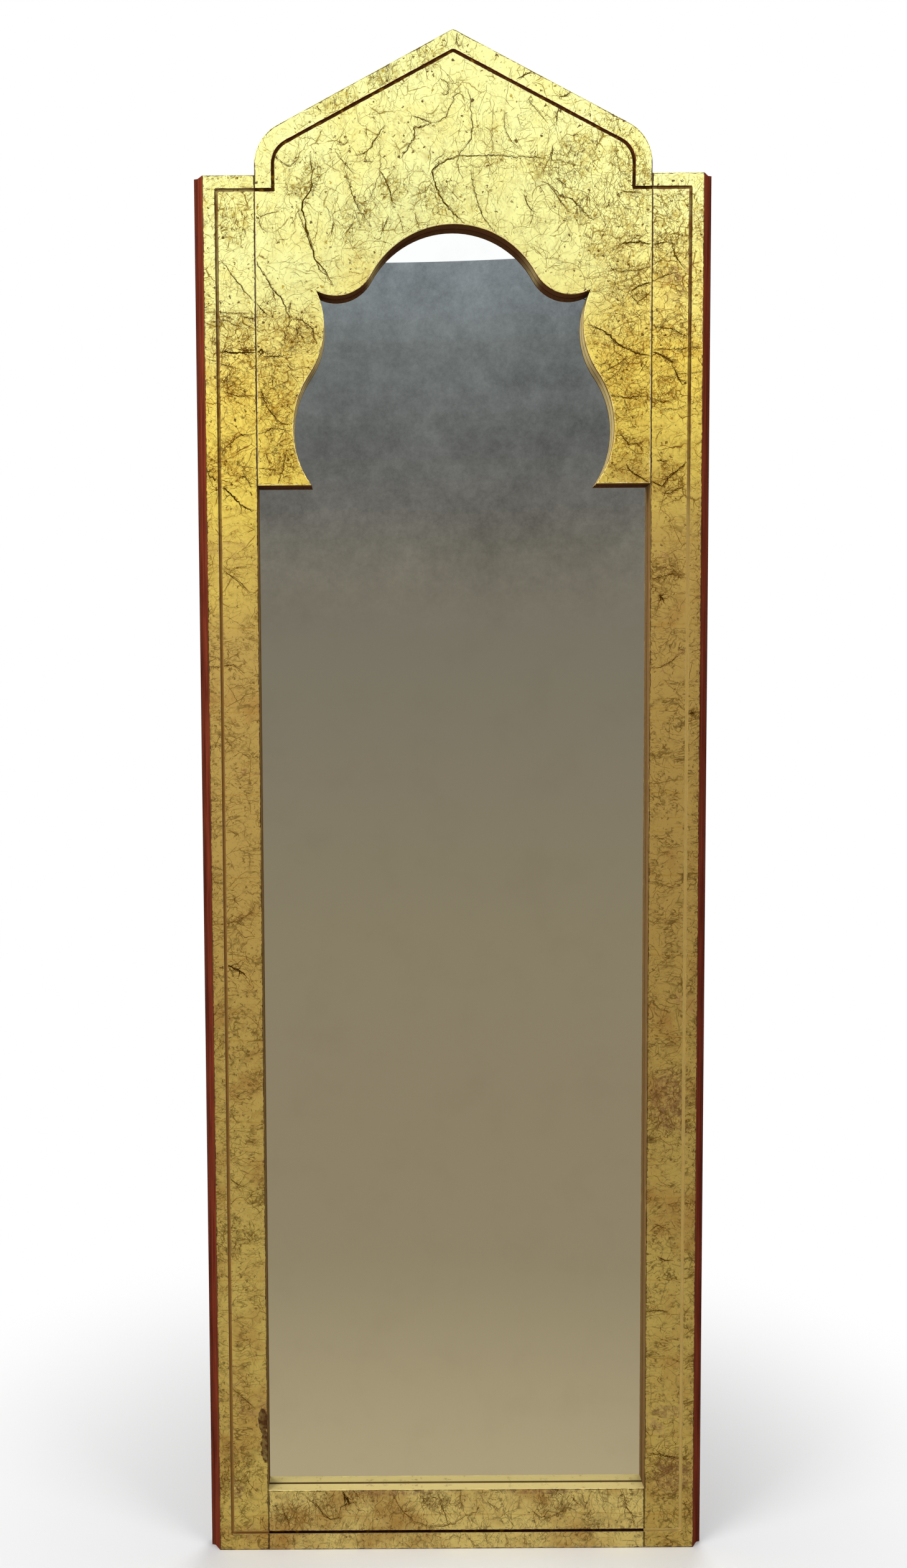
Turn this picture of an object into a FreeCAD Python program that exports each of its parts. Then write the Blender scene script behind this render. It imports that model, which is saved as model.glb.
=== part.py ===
import FreeCAD, Part
import math
import os

# Gilded wall mirror: two stiles, a pediment crest and a bottom rail round one glass plate.
# Sizes are in millimetres. X runs to the viewer's right, Y from front to back and Z up.
# The origin is the middle of the bottom edge, half way through the boards.

# Frame boards
overall_width = 508.0
stile_height = 1388.0
stile_width = 60.0
rail_height = 63.5
lip_thickness = 12.0            # wood in front of the plate
rabbet_width = 10.0             # overlap of lip and plate, with the plate's side gap
arris_radius = 0.6              # softened front edges

# Stepped outer edge of the stiles
bevel_run = 6.0
bevel_depth = 8.5
ledge_width = 3.6
ledge_fall = 1.0

# Crest outline
crest_rise = 137.0              # sharp apex above the tops of the stiles
shoulder_rise = 35.5            # corner of slope and side above the tops of the stiles
shoulder_radius = 42.0
apex_radius = 4.0

# Cut-out of the crest, from its arch down to its open foot
arch_drop = 48.0                # top of the arch below the tops of the stiles
flare_radius = 40.0             # hollow curve from the arch out to the cusp
flare_reach = 19.0              # lowest point of that curve inside the cusp
cusp_drop = 63.0                # cusp below the top of the arch
cusp_reach = 7.4                # cusp outside the waist
leg_width = 36.0                # wood between the belly and the stile
waist_radius = 80.0
belly_swell = 31.0              # belly outside the waist
belly_radius = 95.0
belly_drop = 55.0               # foot of the cut-out below the widest point

# Border groove
groove_width = 3.2
groove_depth = 2.2
stile_groove_inset = 13.0       # groove centre from the bevel
top_groove_drop = 14.2          # groove centre below the tops of the stiles
crest_groove_inset = 18.0       # groove centre from the crest's edge
rail_groove_height = 18.8       # groove centre above the bottom edge

# Glazing
glass_thickness = 4.0
cushion_thickness = 3.0
plate_gap = 2.0                 # plate to rabbet, all round
plate_cover = 12.0              # plate above the top of the arch
block_length = 60.0
block_spacing = 240.0

# Backing
backing_thickness = 3.0
backing_overlap = 15.0          # panel beyond the rabbet
side_screw_count = 5
end_screw_spacing = 200.0
end_screw_margin = 60.0         # first side screw from the panel's end

# Dowels
dowel_radius = 3.0
dowel_length = 40.0
dowel_clearance = 0.1
dowel_end_gap = 1.0
crest_dowel_margin = 45.0       # from the crest's foot and from the tops of the stiles
rail_dowel_margin = 14.0        # from the rail's foot and from its rabbet

# Wall hangers
hanger_height = 1060.0          # axis of the ring's bar above the bottom edge
strap_width = 16.0
strap_thickness = 1.2
strap_length = 56.0             # from the axis to the centre of its round end
ring_wire_radius = 1.5
ring_clearance = 0.3
ring_width = 27.0               # between the centre lines of the arms
ring_bend = 4.0
ring_arm = 4.0
strap_screw_pitch = 22.0

# Screws
screw_radius = 1.5
screw_length = 12.0
screw_head_radius = 3.2
screw_head_height = 1.8
screw_clearance = 0.1
pilot_extra = 1.0               # pilot hole beyond the screw's tip

# Wall bumpers
bumper_radius = 9.0
bumper_thickness = 7.0
bumper_edge = 1.5               # chamfer of the rear rim
bumper_height = 30.0

cut_over = 1.0                  # cutters run past the faces they open
tiny = 1e-6                     # slack for picking edges by their place

# Derived places
board_thickness = lip_thickness + glass_thickness + cushion_thickness
front = -board_thickness / 2
back = board_thickness / 2
plate_front = front + lip_thickness
plate_back = plate_front + glass_thickness
half_width = overall_width / 2
inner_half = half_width - stile_width           # joint between stile and crest or rail
rabbet_half = inner_half + rabbet_width
rabbet_foot = rail_height - rabbet_width
apex = stile_height + crest_rise
slope = math.atan2(crest_rise - shoulder_rise, inner_half)
shoulder_tangent = shoulder_radius * math.tan((math.pi / 2 - slope) / 2)
shoulder_x = inner_half - shoulder_radius
shoulder_z = stile_height + shoulder_rise - shoulder_tangent

arch_top = stile_height - arch_drop
waist_half_width = inner_half - leg_width - belly_swell
cusp_x = waist_half_width + cusp_reach
cusp_z = arch_top - cusp_drop
flare_x = cusp_x - flare_reach
flare_z = cusp_z + math.sqrt(flare_radius ** 2 - flare_reach ** 2)
arch_sag = arch_top - flare_z
arch_radius = (flare_x ** 2 + arch_sag ** 2 - flare_radius ** 2) / (2 * (flare_radius + arch_sag))
waist_x = waist_half_width + waist_radius
waist_z = cusp_z - math.sqrt(waist_radius ** 2 - (waist_radius - cusp_reach) ** 2)
side_radii = waist_radius + belly_radius
belly_x = waist_half_width + belly_swell - belly_radius
belly_z = waist_z - math.sqrt(side_radii ** 2 - (side_radii - belly_swell) ** 2)
crest_foot = belly_z - belly_drop

plate_top = arch_top + plate_cover
rabbet_top = plate_top + plate_gap
plate_half = rabbet_half - plate_gap
plate_foot = rabbet_foot + plate_gap

ledge_x = half_width - ledge_width
bevel_x = ledge_x - bevel_run
stile_groove_x = bevel_x - stile_groove_inset
top_groove_z = stile_height - top_groove_drop
crest_groove_x = inner_half - crest_groove_inset

backing_half = rabbet_half + backing_overlap
backing_foot = rabbet_foot - backing_overlap
backing_top = rabbet_top + backing_overlap
backing_back = back + backing_thickness

crest_dowel_y = front + lip_thickness / 2
crest_dowel_levels = (crest_foot + crest_dowel_margin, stile_height - crest_dowel_margin)
rail_dowel_levels = (rail_dowel_margin, rabbet_foot - rail_dowel_margin)

fixing_x = (backing_half + half_width) / 2      # hangers and bumpers, on the bare back of the stile
eye_radius = ring_wire_radius + ring_clearance
eye_outer = eye_radius + strap_thickness
eye_y = back + eye_outer

across = FreeCAD.Vector(1, 0, 0)
backward = FreeCAD.Vector(0, 1, 0)
forward = FreeCAD.Vector(0, -1, 0)
down = FreeCAD.Vector(0, 0, -1)
middle = FreeCAD.Vector(0, 0, 0)


def point(x, z, y=front):
    return FreeCAD.Vector(x, y, z)


def box(x0, x1, y0, y1, z0, z1):
    return Part.makeBox(x1 - x0, y1 - y0, z1 - z0, FreeCAD.Vector(x0, y0, z0))


def peg(radius, length, x, y, z, way):
    return Part.makeCylinder(radius, length, FreeCAD.Vector(x, y, z), way)


def mirrored(shape):
    return shape.mirror(middle, across)


def line(a, b):
    return Part.LineSegment(a, b).toShape()


def on_circle(x, z, radius, angle):
    return point(x + radius * math.cos(angle), z + radius * math.sin(angle))


def arc(x, z, radius, start, end):
    ends = [on_circle(x, z, radius, a) for a in (start, (start + end) / 2, end)]
    return Part.Arc(*ends).toShape()


def slab(edges, depth):
    face = Part.Face(Part.Wire(Part.__sortEdges__(edges)))
    return face.extrude(FreeCAD.Vector(0, depth, 0))


def softened(board):
    # Rounds the outline of the front face, apart from the edge that the bevel meets
    outline = []
    for edge in board.Edges:
        on_front = edge.BoundBox.YMax < front + tiny
        at_bevel = edge.BoundBox.XMin > bevel_x - tiny
        if on_front and not at_bevel:
            outline.append(edge)
    return board.makeFillet(arris_radius, outline)


# Border groove

def groove_run(x0, z0, x1, z1):
    # Straight channel between two points of its centre line, cut square at both
    length = math.hypot(x1 - x0, z1 - z0)
    half = groove_width / 2
    channel = box(0, length, front - cut_over, front + groove_depth, -half, half)
    channel.rotate(middle, forward, math.degrees(math.atan2(z1 - z0, x1 - x0)))
    channel.translate(FreeCAD.Vector(x0, 0, z0))
    return channel


def groove_bend(x, z, radius, start, end):
    # Curved channel round a centre
    inner = radius - groove_width / 2
    outer = radius + groove_width / 2
    edges = [arc(x, z, outer, start, end), arc(x, z, inner, start, end)]
    for angle in (start, end):
        edges.append(line(on_circle(x, z, inner, angle), on_circle(x, z, outer, angle)))
    channel = slab(edges, groove_depth + cut_over)
    channel.translate(FreeCAD.Vector(0, -cut_over, 0))
    return channel


def groove_corner(x, z):
    # Round outer corner that the cutter leaves where two runs meet
    return peg(groove_width / 2, groove_depth + cut_over, x, front - cut_over, z, backward)


def stile_groove():
    joint = inner_half - cut_over
    cuts = [groove_run(stile_groove_x, rail_groove_height, stile_groove_x, top_groove_z)]
    for z in (rail_groove_height, top_groove_z):
        cuts.append(groove_run(stile_groove_x, z, joint, z))
        cuts.append(groove_corner(stile_groove_x, z))
    return cuts[0].fuse(cuts[1:])


def crest_groove():
    bend = shoulder_radius - crest_groove_inset
    ridge = apex - crest_groove_inset / math.cos(slope)
    tip_z = ridge - apex_radius / math.cos(slope)
    square = math.pi / 2
    tip_x = apex_radius * math.sin(slope)
    slope_top = tip_z + apex_radius * math.cos(slope)
    bend_x = shoulder_x + bend * math.sin(slope)
    bend_z = shoulder_z + bend * math.cos(slope)
    side = [
        groove_run(tip_x, slope_top, bend_x, bend_z),
        groove_bend(shoulder_x, shoulder_z, bend, 0, square - slope),
        groove_run(crest_groove_x, shoulder_z, crest_groove_x, top_groove_z),
        groove_corner(crest_groove_x, top_groove_z),
        groove_run(crest_groove_x, top_groove_z, inner_half + cut_over, top_groove_z),
    ]
    tip = groove_bend(0, tip_z, apex_radius, square - slope, square + slope)
    return tip.fuse(side + [mirrored(run) for run in side])


# Frame boards

def dowel_holes(joint_x, y, levels):
    # Blind holes centred on the joint, so that each board takes half of the dowel
    length = dowel_length + 2 * dowel_end_gap
    radius = dowel_radius + dowel_clearance
    return [peg(radius, length, joint_x - length / 2, y, z, across) for z in levels]


def dowels(y, levels):
    pegs = []
    for side in (-1, 1):
        start = side * inner_half - dowel_length / 2
        pegs += [peg(dowel_radius, dowel_length, start, y, z, across) for z in levels]
    return Part.makeCompound(pegs)


def right_stile():
    ledge_y = front + bevel_depth
    corners = [
        (inner_half, front), (bevel_x, front), (ledge_x, ledge_y), (half_width, ledge_y + ledge_fall),
        (half_width, back), (inner_half, back), (inner_half, front),
    ]
    section = Part.Face(Part.makePolygon([FreeCAD.Vector(x, y, 0) for x, y in corners]))
    board = softened(section.extrude(FreeCAD.Vector(0, 0, stile_height)))
    rabbet = box(inner_half - cut_over, rabbet_half, plate_front, back + cut_over, rabbet_foot, rabbet_top)
    cuts = [rabbet, stile_groove()]
    cuts += dowel_holes(inner_half, crest_dowel_y, crest_dowel_levels)
    cuts += dowel_holes(inner_half, 0, rail_dowel_levels)
    cuts += [hole for hole in screw_pilots() if hole.BoundBox.Center.x > inner_half]
    return board.cut(cuts)


def crest_outline():
    # Right half from the apex round to the top of the arch, then mirrored.
    # The arch is the circle on the middle line that meets both flares without a corner.
    square = math.pi / 2
    tip_z = apex - apex_radius / math.cos(slope)
    tip_end = on_circle(0, tip_z, apex_radius, square - slope)
    slope_end = on_circle(shoulder_x, shoulder_z, shoulder_radius, square - slope)
    corner = point(inner_half, crest_foot)
    foot_angle = -math.asin(belly_drop / belly_radius)
    opening_foot = on_circle(belly_x, belly_z, belly_radius, foot_angle)
    swing = math.atan2(waist_z - belly_z, waist_x - belly_x)
    cusp_angle = math.atan2(cusp_z - waist_z, cusp_x - waist_x)
    arch_z = arch_top - arch_radius
    lean = math.atan2(flare_z - arch_z, flare_x)
    flare_end = math.atan2(cusp_z - flare_z, cusp_x - flare_x)
    half = [
        line(tip_end, slope_end),
        arc(shoulder_x, shoulder_z, shoulder_radius, square - slope, 0),
        line(point(inner_half, shoulder_z), corner),
        line(corner, opening_foot),
        arc(belly_x, belly_z, belly_radius, foot_angle, swing),
        arc(waist_x, waist_z, waist_radius, math.pi + swing, cusp_angle),
        arc(flare_x, flare_z, flare_radius, flare_end, lean - math.pi),
    ]
    tip = arc(0, tip_z, apex_radius, square - slope, square + slope)
    arch = arc(0, arch_z, arch_radius, lean, math.pi - lean)
    return half + [mirrored(edge) for edge in half] + [tip, arch]


def crest_board():
    board = softened(slab(crest_outline(), board_thickness))
    recess = box(-half_width, half_width, plate_front, back + cut_over, crest_foot - cut_over, rabbet_top)
    cuts = [recess, crest_groove()]
    for side in (-1, 1):
        cuts += dowel_holes(side * inner_half, crest_dowel_y, crest_dowel_levels)
    cuts += [hole for hole in screw_pilots() if hole.BoundBox.Center.z > rabbet_top]
    return board.cut(cuts)


def bottom_rail():
    board = softened(box(-inner_half, inner_half, front, back, 0, rail_height))
    rabbet = box(-half_width, half_width, plate_front, back + cut_over, rabbet_foot, rail_height + cut_over)
    groove = groove_run(-inner_half - cut_over, rail_groove_height, inner_half + cut_over, rail_groove_height)
    cuts = [rabbet, groove]
    for side in (-1, 1):
        cuts += dowel_holes(side * inner_half, 0, rail_dowel_levels)
    cuts += [hole for hole in screw_pilots() if hole.BoundBox.Center.z < rabbet_foot]
    return board.cut(cuts)


# Glazing and backing

def mirror_plate():
    return box(-plate_half, plate_half, plate_front, plate_back, plate_foot, plate_top)


def cushion_sheet():
    return box(-plate_half, plate_half, plate_back, back, plate_foot, plate_top)


def setting_blocks():
    blocks = []
    for side in (-1, 1):
        start = side * block_spacing / 2 - block_length / 2
        blocks.append(box(start, start + block_length, plate_front, back, rabbet_foot, plate_foot))
    return Part.makeCompound(blocks)


def backing_screw_places():
    # Along both sides, then two at each end, on the middle line of the overlap
    side_x = backing_half - backing_overlap / 2
    low = backing_foot + end_screw_margin
    step = (backing_top - end_screw_margin - low) / (side_screw_count - 1)
    places = []
    for side in (-1, 1):
        places += [(side * side_x, low + i * step) for i in range(side_screw_count)]
        places.append((side * end_screw_spacing / 2, backing_foot + backing_overlap / 2))
        places.append((side * end_screw_spacing / 2, backing_top - backing_overlap / 2))
    return places


def strap_screw_places():
    levels = [hanger_height - strap_length + i * strap_screw_pitch for i in range(2)]
    return [(side * fixing_x, z) for side in (-1, 1) for z in levels]


def screw(x, z, seat):
    # Round head on the seat, with the shank towards the front
    head = peg(screw_head_radius, screw_head_height, x, seat, z, backward)
    rim = [edge for edge in head.Edges if edge.BoundBox.YMin > seat + tiny]
    head = head.makeChamfer(screw_head_height / 2, rim)
    return head.fuse(peg(screw_radius, screw_length, x, seat, z, forward))


def screw_hole(x, z, seat):
    radius = screw_radius + screw_clearance
    depth = screw_length + pilot_extra
    return peg(radius, depth, x, seat, z, forward)


def screw_pilots():
    holes = [screw_hole(x, z, backing_back) for x, z in backing_screw_places()]
    return holes + [screw_hole(x, z, back + strap_thickness) for x, z in strap_screw_places()]


def backing_panel():
    panel = box(-backing_half, backing_half, back, backing_back, backing_foot, backing_top)
    return panel.cut([screw_hole(x, z, backing_back) for x, z in backing_screw_places()])


def backing_screws():
    return Part.makeCompound([screw(x, z, backing_back) for x, z in backing_screw_places()])


# Wall hangers and bumpers

def right_hanger_strap():
    # Flat strap with a round end below and an eye rolled round the ring's bar above
    left = fixing_x - strap_width / 2
    end_z = hanger_height - strap_length
    flat = box(left, left + strap_width, back, back + strap_thickness, end_z, hanger_height)
    tail = peg(strap_width / 2, strap_thickness, fixing_x, back, end_z, backward)
    eye = peg(eye_outer, strap_width, left, eye_y, hanger_height, across)
    bore = peg(eye_radius, strap_width, left, eye_y, hanger_height, across)
    holes = [screw_hole(x, z, back + strap_thickness) for x, z in strap_screw_places() if x > 0]
    return flat.fuse([tail, eye]).cut([bore] + holes).removeSplitter()


def hanger_screws():
    return Part.makeCompound([screw(x, z, back + strap_thickness) for x, z in strap_screw_places()])


def wire_disc(x, z, normal):
    circle = Part.Circle(point(x, z, eye_y), normal, ring_wire_radius)
    return Part.Face(Part.Wire(circle.toShape()))


def right_hanger_ring():
    # Wire ring that hangs from its straight bar: bar, two corners, two arms and a half circle
    half = ring_width / 2
    corner_z = hanger_height - ring_bend
    arm_foot = corner_z - ring_arm
    bar_half = half - ring_bend
    bar = wire_disc(fixing_x - bar_half, hanger_height, across).extrude(across * 2 * bar_half)
    pieces = [bar]
    for side in (-1, 1):
        bend_centre = point(fixing_x + side * bar_half, corner_z, eye_y)
        bar_end = wire_disc(fixing_x + side * bar_half, hanger_height, across)
        pieces.append(bar_end.revolve(bend_centre, backward * side, 90))
        pieces.append(wire_disc(fixing_x + side * half, corner_z, down).extrude(down * ring_arm))
    bow = wire_disc(fixing_x + half, arm_foot, down)
    pieces.append(bow.revolve(point(fixing_x, arm_foot, eye_y), backward, 180))
    return pieces[0].fuse(pieces[1:]).removeSplitter()


def right_bumper():
    pad = peg(bumper_radius, bumper_thickness, fixing_x, back, bumper_height, backward)
    rim = [edge for edge in pad.Edges if edge.BoundBox.YMin > back + tiny]
    return pad.makeChamfer(bumper_edge, rim)


def build():
    nodes = {
        "crest_board": crest_board(),
        "bottom_rail": bottom_rail(),
        "crest_dowels": dowels(crest_dowel_y, crest_dowel_levels),
        "rail_dowels": dowels(0, rail_dowel_levels),
        "mirror_plate": mirror_plate(),
        "setting_blocks": setting_blocks(),
        "cushion_sheet": cushion_sheet(),
        "backing_panel": backing_panel(),
        "backing_screws": backing_screws(),
        "hanger_screws": hanger_screws(),
    }
    paired = {
        "stile": right_stile(),
        "hanger_strap": right_hanger_strap(),
        "hanger_ring": right_hanger_ring(),
        "bumper": right_bumper(),
    }
    for name, shape in paired.items():
        nodes["right_" + name] = shape
        nodes["left_" + name] = mirrored(shape)
    return nodes


os.makedirs("parts", exist_ok=True)
for node, shape in build().items():
    shape.exportStep("parts/" + node + ".step")
    print(node, "solids", len(shape.Solids), "valid", shape.isValid(), "volume", round(shape.Volume, 1))
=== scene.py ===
import math
import bmesh
import bpy
import numpy as np
from mathutils import Matrix, Vector


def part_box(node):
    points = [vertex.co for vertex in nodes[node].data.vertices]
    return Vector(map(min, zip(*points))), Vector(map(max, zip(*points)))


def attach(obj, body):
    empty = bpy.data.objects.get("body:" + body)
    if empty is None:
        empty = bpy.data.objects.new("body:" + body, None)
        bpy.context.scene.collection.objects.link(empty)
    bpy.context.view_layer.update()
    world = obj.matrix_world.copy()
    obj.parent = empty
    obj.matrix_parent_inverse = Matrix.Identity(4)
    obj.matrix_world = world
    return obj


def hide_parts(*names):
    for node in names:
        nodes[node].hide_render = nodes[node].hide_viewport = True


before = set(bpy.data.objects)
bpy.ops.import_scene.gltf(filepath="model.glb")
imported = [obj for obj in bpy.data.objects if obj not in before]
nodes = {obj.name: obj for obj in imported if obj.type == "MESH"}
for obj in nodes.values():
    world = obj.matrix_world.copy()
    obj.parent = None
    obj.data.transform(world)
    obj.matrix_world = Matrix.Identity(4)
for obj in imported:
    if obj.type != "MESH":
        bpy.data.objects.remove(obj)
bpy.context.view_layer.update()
scene = bpy.context.scene
scene.view_settings.view_transform = "Standard"
print("frame loaded,", len(nodes), "nodes")

mm = 0.001


def tone(red, green, blue):
    # screen values 0 to 255 turned into linear light
    screen = np.array([red, green, blue]) / 255.0
    linear = np.where(screen <= 0.04045, screen / 12.92, ((screen + 0.055) / 1.055) ** 2.4)
    return (*linear.tolist(), 1.0)


# places read from the solids, in metres
crestLow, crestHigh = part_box("crest_board")
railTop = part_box("bottom_rail")[1].z
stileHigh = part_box("right_stile")[1]
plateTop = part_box("mirror_plate")[1].z
frontY = crestLow.y  # gilded face
jointX = crestHigh.x  # crest and rail meet the stiles here
halfWidth, stileTop = stileHigh.x, stileHigh.z

# camera
cameraLook = {
    "place": (-0.0887, -1.2391, 0.8611),
    "pitchDown": 3.147,  # degrees
    "roll": -0.357,  # degrees
    "focalPixels": 1979.3,
    "imageSize": (1458, 2520),
    "axisColumn": 588.5,  # pixel column that the lens axis meets
    "sensor": 36.0,  # millimetres
    "clip": (0.05, 50.0),
}


def makeCamera(look):
    wide, high = look["imageSize"]
    data = bpy.data.cameras.new("viewer")
    data.sensor_width = look["sensor"]
    data.lens = look["focalPixels"] / high * data.sensor_width
    data.shift_x = (wide / 2 - look["axisColumn"]) / high
    data.clip_start, data.clip_end = look["clip"]
    pitch, roll = math.radians(look["pitchDown"]), math.radians(look["roll"])
    ahead = Vector((0, math.cos(pitch), -math.sin(pitch)))
    level = Vector((1, 0, 0))
    upright = level.cross(ahead)
    right = level * math.cos(roll) + upright * math.sin(roll)
    up = upright * math.cos(roll) - level * math.sin(roll)
    turned = Matrix((right, up, -ahead)).transposed().to_4x4()
    camera = bpy.data.objects.new("viewer", data)
    camera.matrix_world = Matrix.Translation(look["place"]) @ turned
    scene.collection.objects.link(camera)
    scene.camera = camera


makeCamera(cameraLook)
print("camera set")


class Tree:
    # a node tree under construction: feed() links a socket or writes a constant
    def __init__(self, tree):
        self.tree = tree

    def add(self, kind, inputs=None, **settings):
        node = self.tree.nodes.new(kind)
        for key, value in settings.items():
            setattr(node, key, value)
        for key, value in (inputs or {}).items():
            self.feed(node.inputs[key], value)
        return node

    def feed(self, socket, value):
        if isinstance(value, bpy.types.NodeSocket):
            self.tree.links.new(value, socket)
        else:
            socket.default_value = value

    def split(self, vector):
        return tuple(self.add("ShaderNodeSeparateXYZ", {0: vector}).outputs)

    def math(self, operation, first, second=0.0, clamp=False):
        node = self.add("ShaderNodeMath", {0: first, 1: second}, operation=operation, use_clamp=clamp)
        return node.outputs[0]

    def plus(self, first, second, clamp=False):
        return self.math("ADD", first, second, clamp)

    def minus(self, first, second, clamp=False):
        return self.math("SUBTRACT", first, second, clamp)

    def away(self, value, middle):
        return self.math("ABSOLUTE", self.minus(value, middle))

    def joined(self, operation, values):
        total = values[0]
        for value in values[1:]:
            total = self.math(operation, total, value)
        return total

    def times(self, *values):
        return self.joined("MULTIPLY", values)

    def most(self, *values):
        return self.joined("MAXIMUM", values)

    def least(self, *values):
        return self.joined("MINIMUM", values)

    def step(self, value, low, high):
        # 0 at low, 1 at high, smooth between; low may be above high
        node = self.add("ShaderNodeMapRange", {0: value, 1: low, 2: high}, interpolation_type="SMOOTHSTEP")
        return node.outputs[0]

    def between(self, share, low, high, fromLow=0.0, fromHigh=1.0):
        inputs = {0: share, 1: fromLow, 2: fromHigh, 3: low, 4: high}
        return self.add("ShaderNodeMapRange", inputs).outputs[0]

    def vector(self, operation, first, second):
        return self.add("ShaderNodeVectorMath", {0: first, 1: second}, operation=operation).outputs[0]

    def length(self, vector):
        return self.add("ShaderNodeVectorMath", {0: vector}, operation="LENGTH").outputs["Value"]

    def stretched(self, vector, scale):
        return self.vector("MULTIPLY", vector, scale)

    def noise(self, vector, scale, detail=2.0, rough=0.5):
        inputs = {"Vector": vector, "Scale": scale, "Detail": detail, "Roughness": rough}
        return self.add("ShaderNodeTexNoise", inputs)

    def cloud(self, vector, scale, detail=2.0, rough=0.5):
        return self.noise(vector, scale, detail, rough).outputs["Fac"]

    def cells(self, vector, scale, feature="F1"):
        return self.add("ShaderNodeTexVoronoi", {"Vector": vector, "Scale": scale}, feature=feature,
                        voronoi_dimensions="2D")

    def mix(self, share, first, second):
        return self.add("ShaderNodeMix", {0: share, 6: first, 7: second}, data_type="RGBA").outputs[2]

    def blend(self, share, first, second):
        # two shaders
        return self.add("ShaderNodeMixShader", {0: share, 1: first, 2: second}).outputs[0]


class Finish(Tree):
    # one material, with the place in metres and the way the face looks at hand
    def __init__(self, name):
        self.material = bpy.data.materials.new(name)
        self.material.use_nodes = True
        super().__init__(self.material.node_tree)
        self.shader = self.tree.nodes["Principled BSDF"]
        coordinates = self.add("ShaderNodeTexCoord").outputs
        self.place = coordinates["Object"]
        self.x, self.y, self.z = self.split(self.place)
        self.faceY, self.faceZ = self.split(coordinates["Normal"])[1:]
        self.sheet = self.add("ShaderNodeCombineXYZ", {0: self.x, 1: self.z}).outputs[0]  # across and up

    def patchy(self, scale, low, high, detail=2.0, rough=0.5):
        # clouds on the sheet, cut between two levels
        return self.step(self.cloud(self.sheet, scale, detail, rough), low, high)

    def patch(self, vector, x, z, reachX, reachZ, sharp=False):
        # 1 inside an ellipse given in millimetres, 0 outside, vector being a warped sheet
        moved = self.vector("SUBTRACT", vector, (x * mm, z * mm, 0))
        away = self.length(self.stretched(moved, (1 / (reachX * mm), 1 / (reachZ * mm), 0.0)))
        return self.step(away, 1.05, 0.98) if sharp else self.step(away, 1.15, 0.7)

    def warped(self, vector, scale, reach, detail=2.0):
        # the place moved by up to half of reach, so that a straight pattern wanders
        shift = self.noise(vector, scale, detail).outputs["Color"]
        centred = self.vector("SUBTRACT", shift, (0.5, 0.5, 0.5))
        return self.vector("ADD", vector, self.stretched(centred, (reach, reach, reach)))

    def bump(self, height, depth, strength=1.0):
        node = self.add("ShaderNodeBump", {"Height": height, "Distance": depth, "Strength": strength})
        self.feed(self.shader.inputs["Normal"], node.outputs["Normal"])

    def set(self, **sockets):
        for key, value in sockets.items():
            self.feed(self.shader.inputs[key.replace("_", " ")], value)
        return self.material


def wear(material, *names):
    for name in names:
        nodes[name].data.materials.clear()
        nodes[name].data.materials.append(material)


def newPiece(name, verts, faces, material):
    # an object at the origin, from corners in metres
    mesh = bpy.data.meshes.new(name)
    mesh.from_pydata(np.asarray(verts).tolist(), [], np.asarray(faces).tolist())
    mesh.materials.append(material)
    piece = bpy.data.objects.new(name, mesh)
    scene.collection.objects.link(piece)
    return piece


# stage
stageLook = {
    "floorSize": 6.0,
    "floorColour": (0.86, 0.86, 0.86, 1.0),
    "fade": (0.15, 0.8),  # metres from the mirror between which the floor goes white
    "fill": 0.22,  # light from all round
    "lamps": (  # name, place, aim, size, watts
        ("keyLamp", (-1.1, -0.85, 2.35), (0.0, 0.0, 1.3), 0.7, 23.6),
        ("sideLamp", (1.0, -0.9, 2.35), (0.0, 0.0, 1.3), 0.7, 16.2),
        ("frontLamp", (-1.9, -2.2, 1.1), (0.0, 0.0, 0.35), 1.6, 19.0),
        ("backLamp", (0.6, 1.9, 1.9), (0.0, 0.0, 0.8), 1.6, 30.0),
    ),
    "room": (  # what polished pieces show, by sine of the height angle
        (-0.60, tone(192, 176, 142)),
        (-0.52, tone(182, 166, 132)),
        (-0.41, tone(154, 140, 112)),
        (-0.17, tone(146, 134, 109)),
        (0.12, tone(126, 120, 107)),
        (0.17, tone(114, 111, 106)),
        (0.21, tone(110, 110, 108)),
        (0.28, tone(118, 122, 121)),
        (0.34, tone(138, 145, 150)),
    ),
    "roomCloud": (0.6, 1.3),  # darkest and lightest of the clouds in the grey part
    "cloudNoise": (12.0, 12.0, 0.9),  # their scale, detail and roughness
    "cloudCut": (0.36, 0.64),
    "cloudFrom": (0.06, 0.16),  # they set in between these sines
    "whiteFrom": 0.3385,  # the room is white from this sine upwards
    "whiteLift": 1.15,  # and lifted, so that silver shows it white
    "white": (1.0, 1.0, 1.0, 1.0),
}


def makeFloor(look):
    pale = Finish("paleFloor")
    pale.set(Base_Color=look["floorColour"], Roughness=0.9)
    seen = pale.add("ShaderNodeLightPath").outputs["Is Camera Ray"]
    share = pale.times(seen, pale.step(pale.length(pale.place), *look["fade"]))
    white = pale.add("ShaderNodeEmission").outputs[0]
    shown = pale.blend(share, pale.shader.outputs[0], white)
    pale.feed(pale.tree.nodes["Material Output"].inputs["Surface"], shown)
    half = look["floorSize"] / 2
    square = [(-half, -half, 0), (half, -half, 0), (half, half, 0), (-half, half, 0)]
    floor = newPiece("floor", square, [(0, 1, 2, 3)], pale.material)
    floor.visible_glossy = False


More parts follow.
